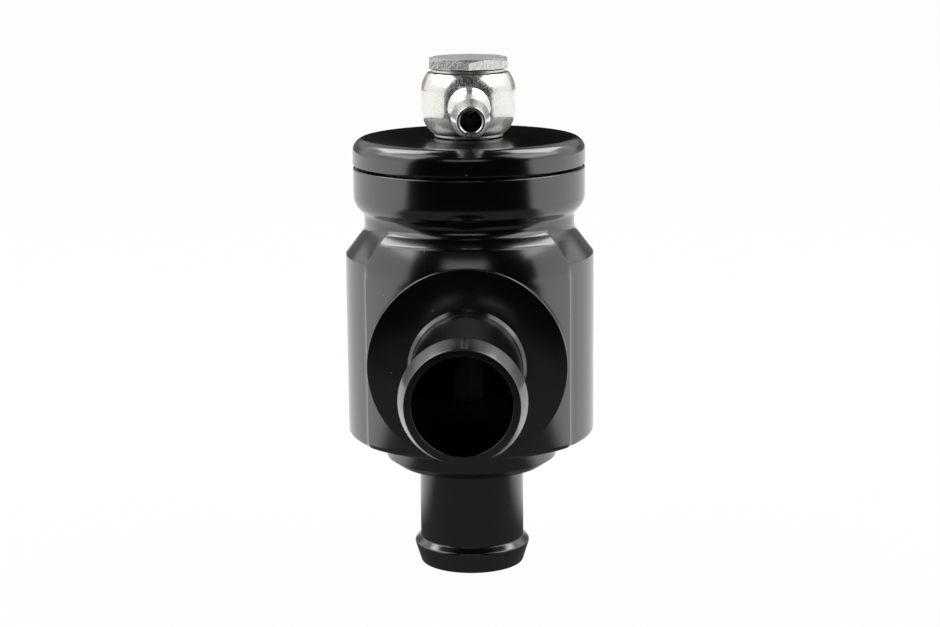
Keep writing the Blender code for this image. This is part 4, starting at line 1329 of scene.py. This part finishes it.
def make_world():
    """White to the camera; else dark, with pale side walls and a pale card over the camera.

    The rear corners are a little lit, and the wall straight behind the valve is dark.
    """
    recipe = Recipe("studio", bpy.data.worlds)
    direction = recipe.node("ShaderNodeTexCoord", output="Generated")
    across, back, up = (recipe.part(direction, axis) for axis in "XYZ")
    below_ceiling = recipe.ramp(up, 0.75, 0.5)
    card = recipe.band(up, 0.23, 0.3, 0.36, 0.48) * (back < 0.0)
    card = card * recipe.band(across, -0.42, -0.31, 0.22, 0.33)
    walls = recipe.ramp(back - WALL_TURN * across, -0.53, -0.48)
    walls = walls * recipe.ramp(back, 0.8, 0.6) * below_ceiling
    corners = recipe.ramp(back, 0.6, 0.8) * recipe.ramp(abs(across), 0.1, 0.24) * below_ceiling
    camera_ray = recipe.ray("Camera")
    room = ROOM_LEVEL + card + walls + CORNER_LEVEL * corners
    level = camera_ray + (1.0 - camera_ray) * room
    glow = recipe.node("ShaderNodeBackground", sockets={"Color": WHITE, "Strength": level})
    bpy.context.scene.world = recipe.close(glow, "ShaderNodeOutputWorld")


def make_camera():
    """The photograph's own view: half a metre in front, looking a little down."""
    ahead = math.cos(CAMERA_PITCH)
    forward = Vector((
        math.sin(CAMERA_YAW) * ahead, math.cos(CAMERA_YAW) * ahead, -math.sin(CAMERA_PITCH)
    ))
    level = Vector((math.cos(CAMERA_YAW), -math.sin(CAMERA_YAW), 0.0))
    upright = level.cross(forward)
    right = level * math.cos(CAMERA_ROLL) + upright * math.sin(CAMERA_ROLL)
    up = upright * math.cos(CAMERA_ROLL) - level * math.sin(CAMERA_ROLL)
    place = Vector((CAMERA_ASIDE, AXIS_Y - CAMERA_DISTANCE, BODY_TOP + CAMERA_ABOVE_BODY))
    camera = bpy.data.cameras.new("camera")
    camera.sensor_width = SENSOR_WIDTH
    camera.lens = FOCAL_LENGTH
    camera.clip_start = 0.01
    thing = shown("camera", camera)
    turned_to = Matrix((right, up, -forward)).transposed()
    thing.matrix_world = Matrix.Translation(place) @ turned_to.to_4x4()
    bpy.context.scene.camera = thing


OPERATORS = (
    VALVE_OT_body,
    VALVE_OT_cap,
    VALVE_OT_hose_barbs,
    VALVE_OT_banjo,
    VALVE_OT_inner_parts,
    VALVE_OT_stage,
)
GROUPS = {
    "valve_housing": HousingSizes,
    "valve_fittings": FittingSizes,
    "valve_colours": FinishColours,
}


def register():
    for name, group in GROUPS.items():
        bpy.utils.register_class(group)
        setattr(bpy.types.Scene, name, bpy.props.PointerProperty(type=group))
    for made in (*OPERATORS, VALVE_PT_sidebar):
        bpy.utils.register_class(made)


def unregister():
    for made in reversed((*OPERATORS, VALVE_PT_sidebar)):
        bpy.utils.unregister_class(made)
    for name, group in GROUPS.items():
        delattr(bpy.types.Scene, name)
        bpy.utils.unregister_class(group)


def main():
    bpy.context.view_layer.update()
    register()
    for operator in OPERATORS:
        group, name = operator.bl_idname.split(".")
        getattr(getattr(bpy.ops, group), name)()


if __name__ == "__main__":
    main()
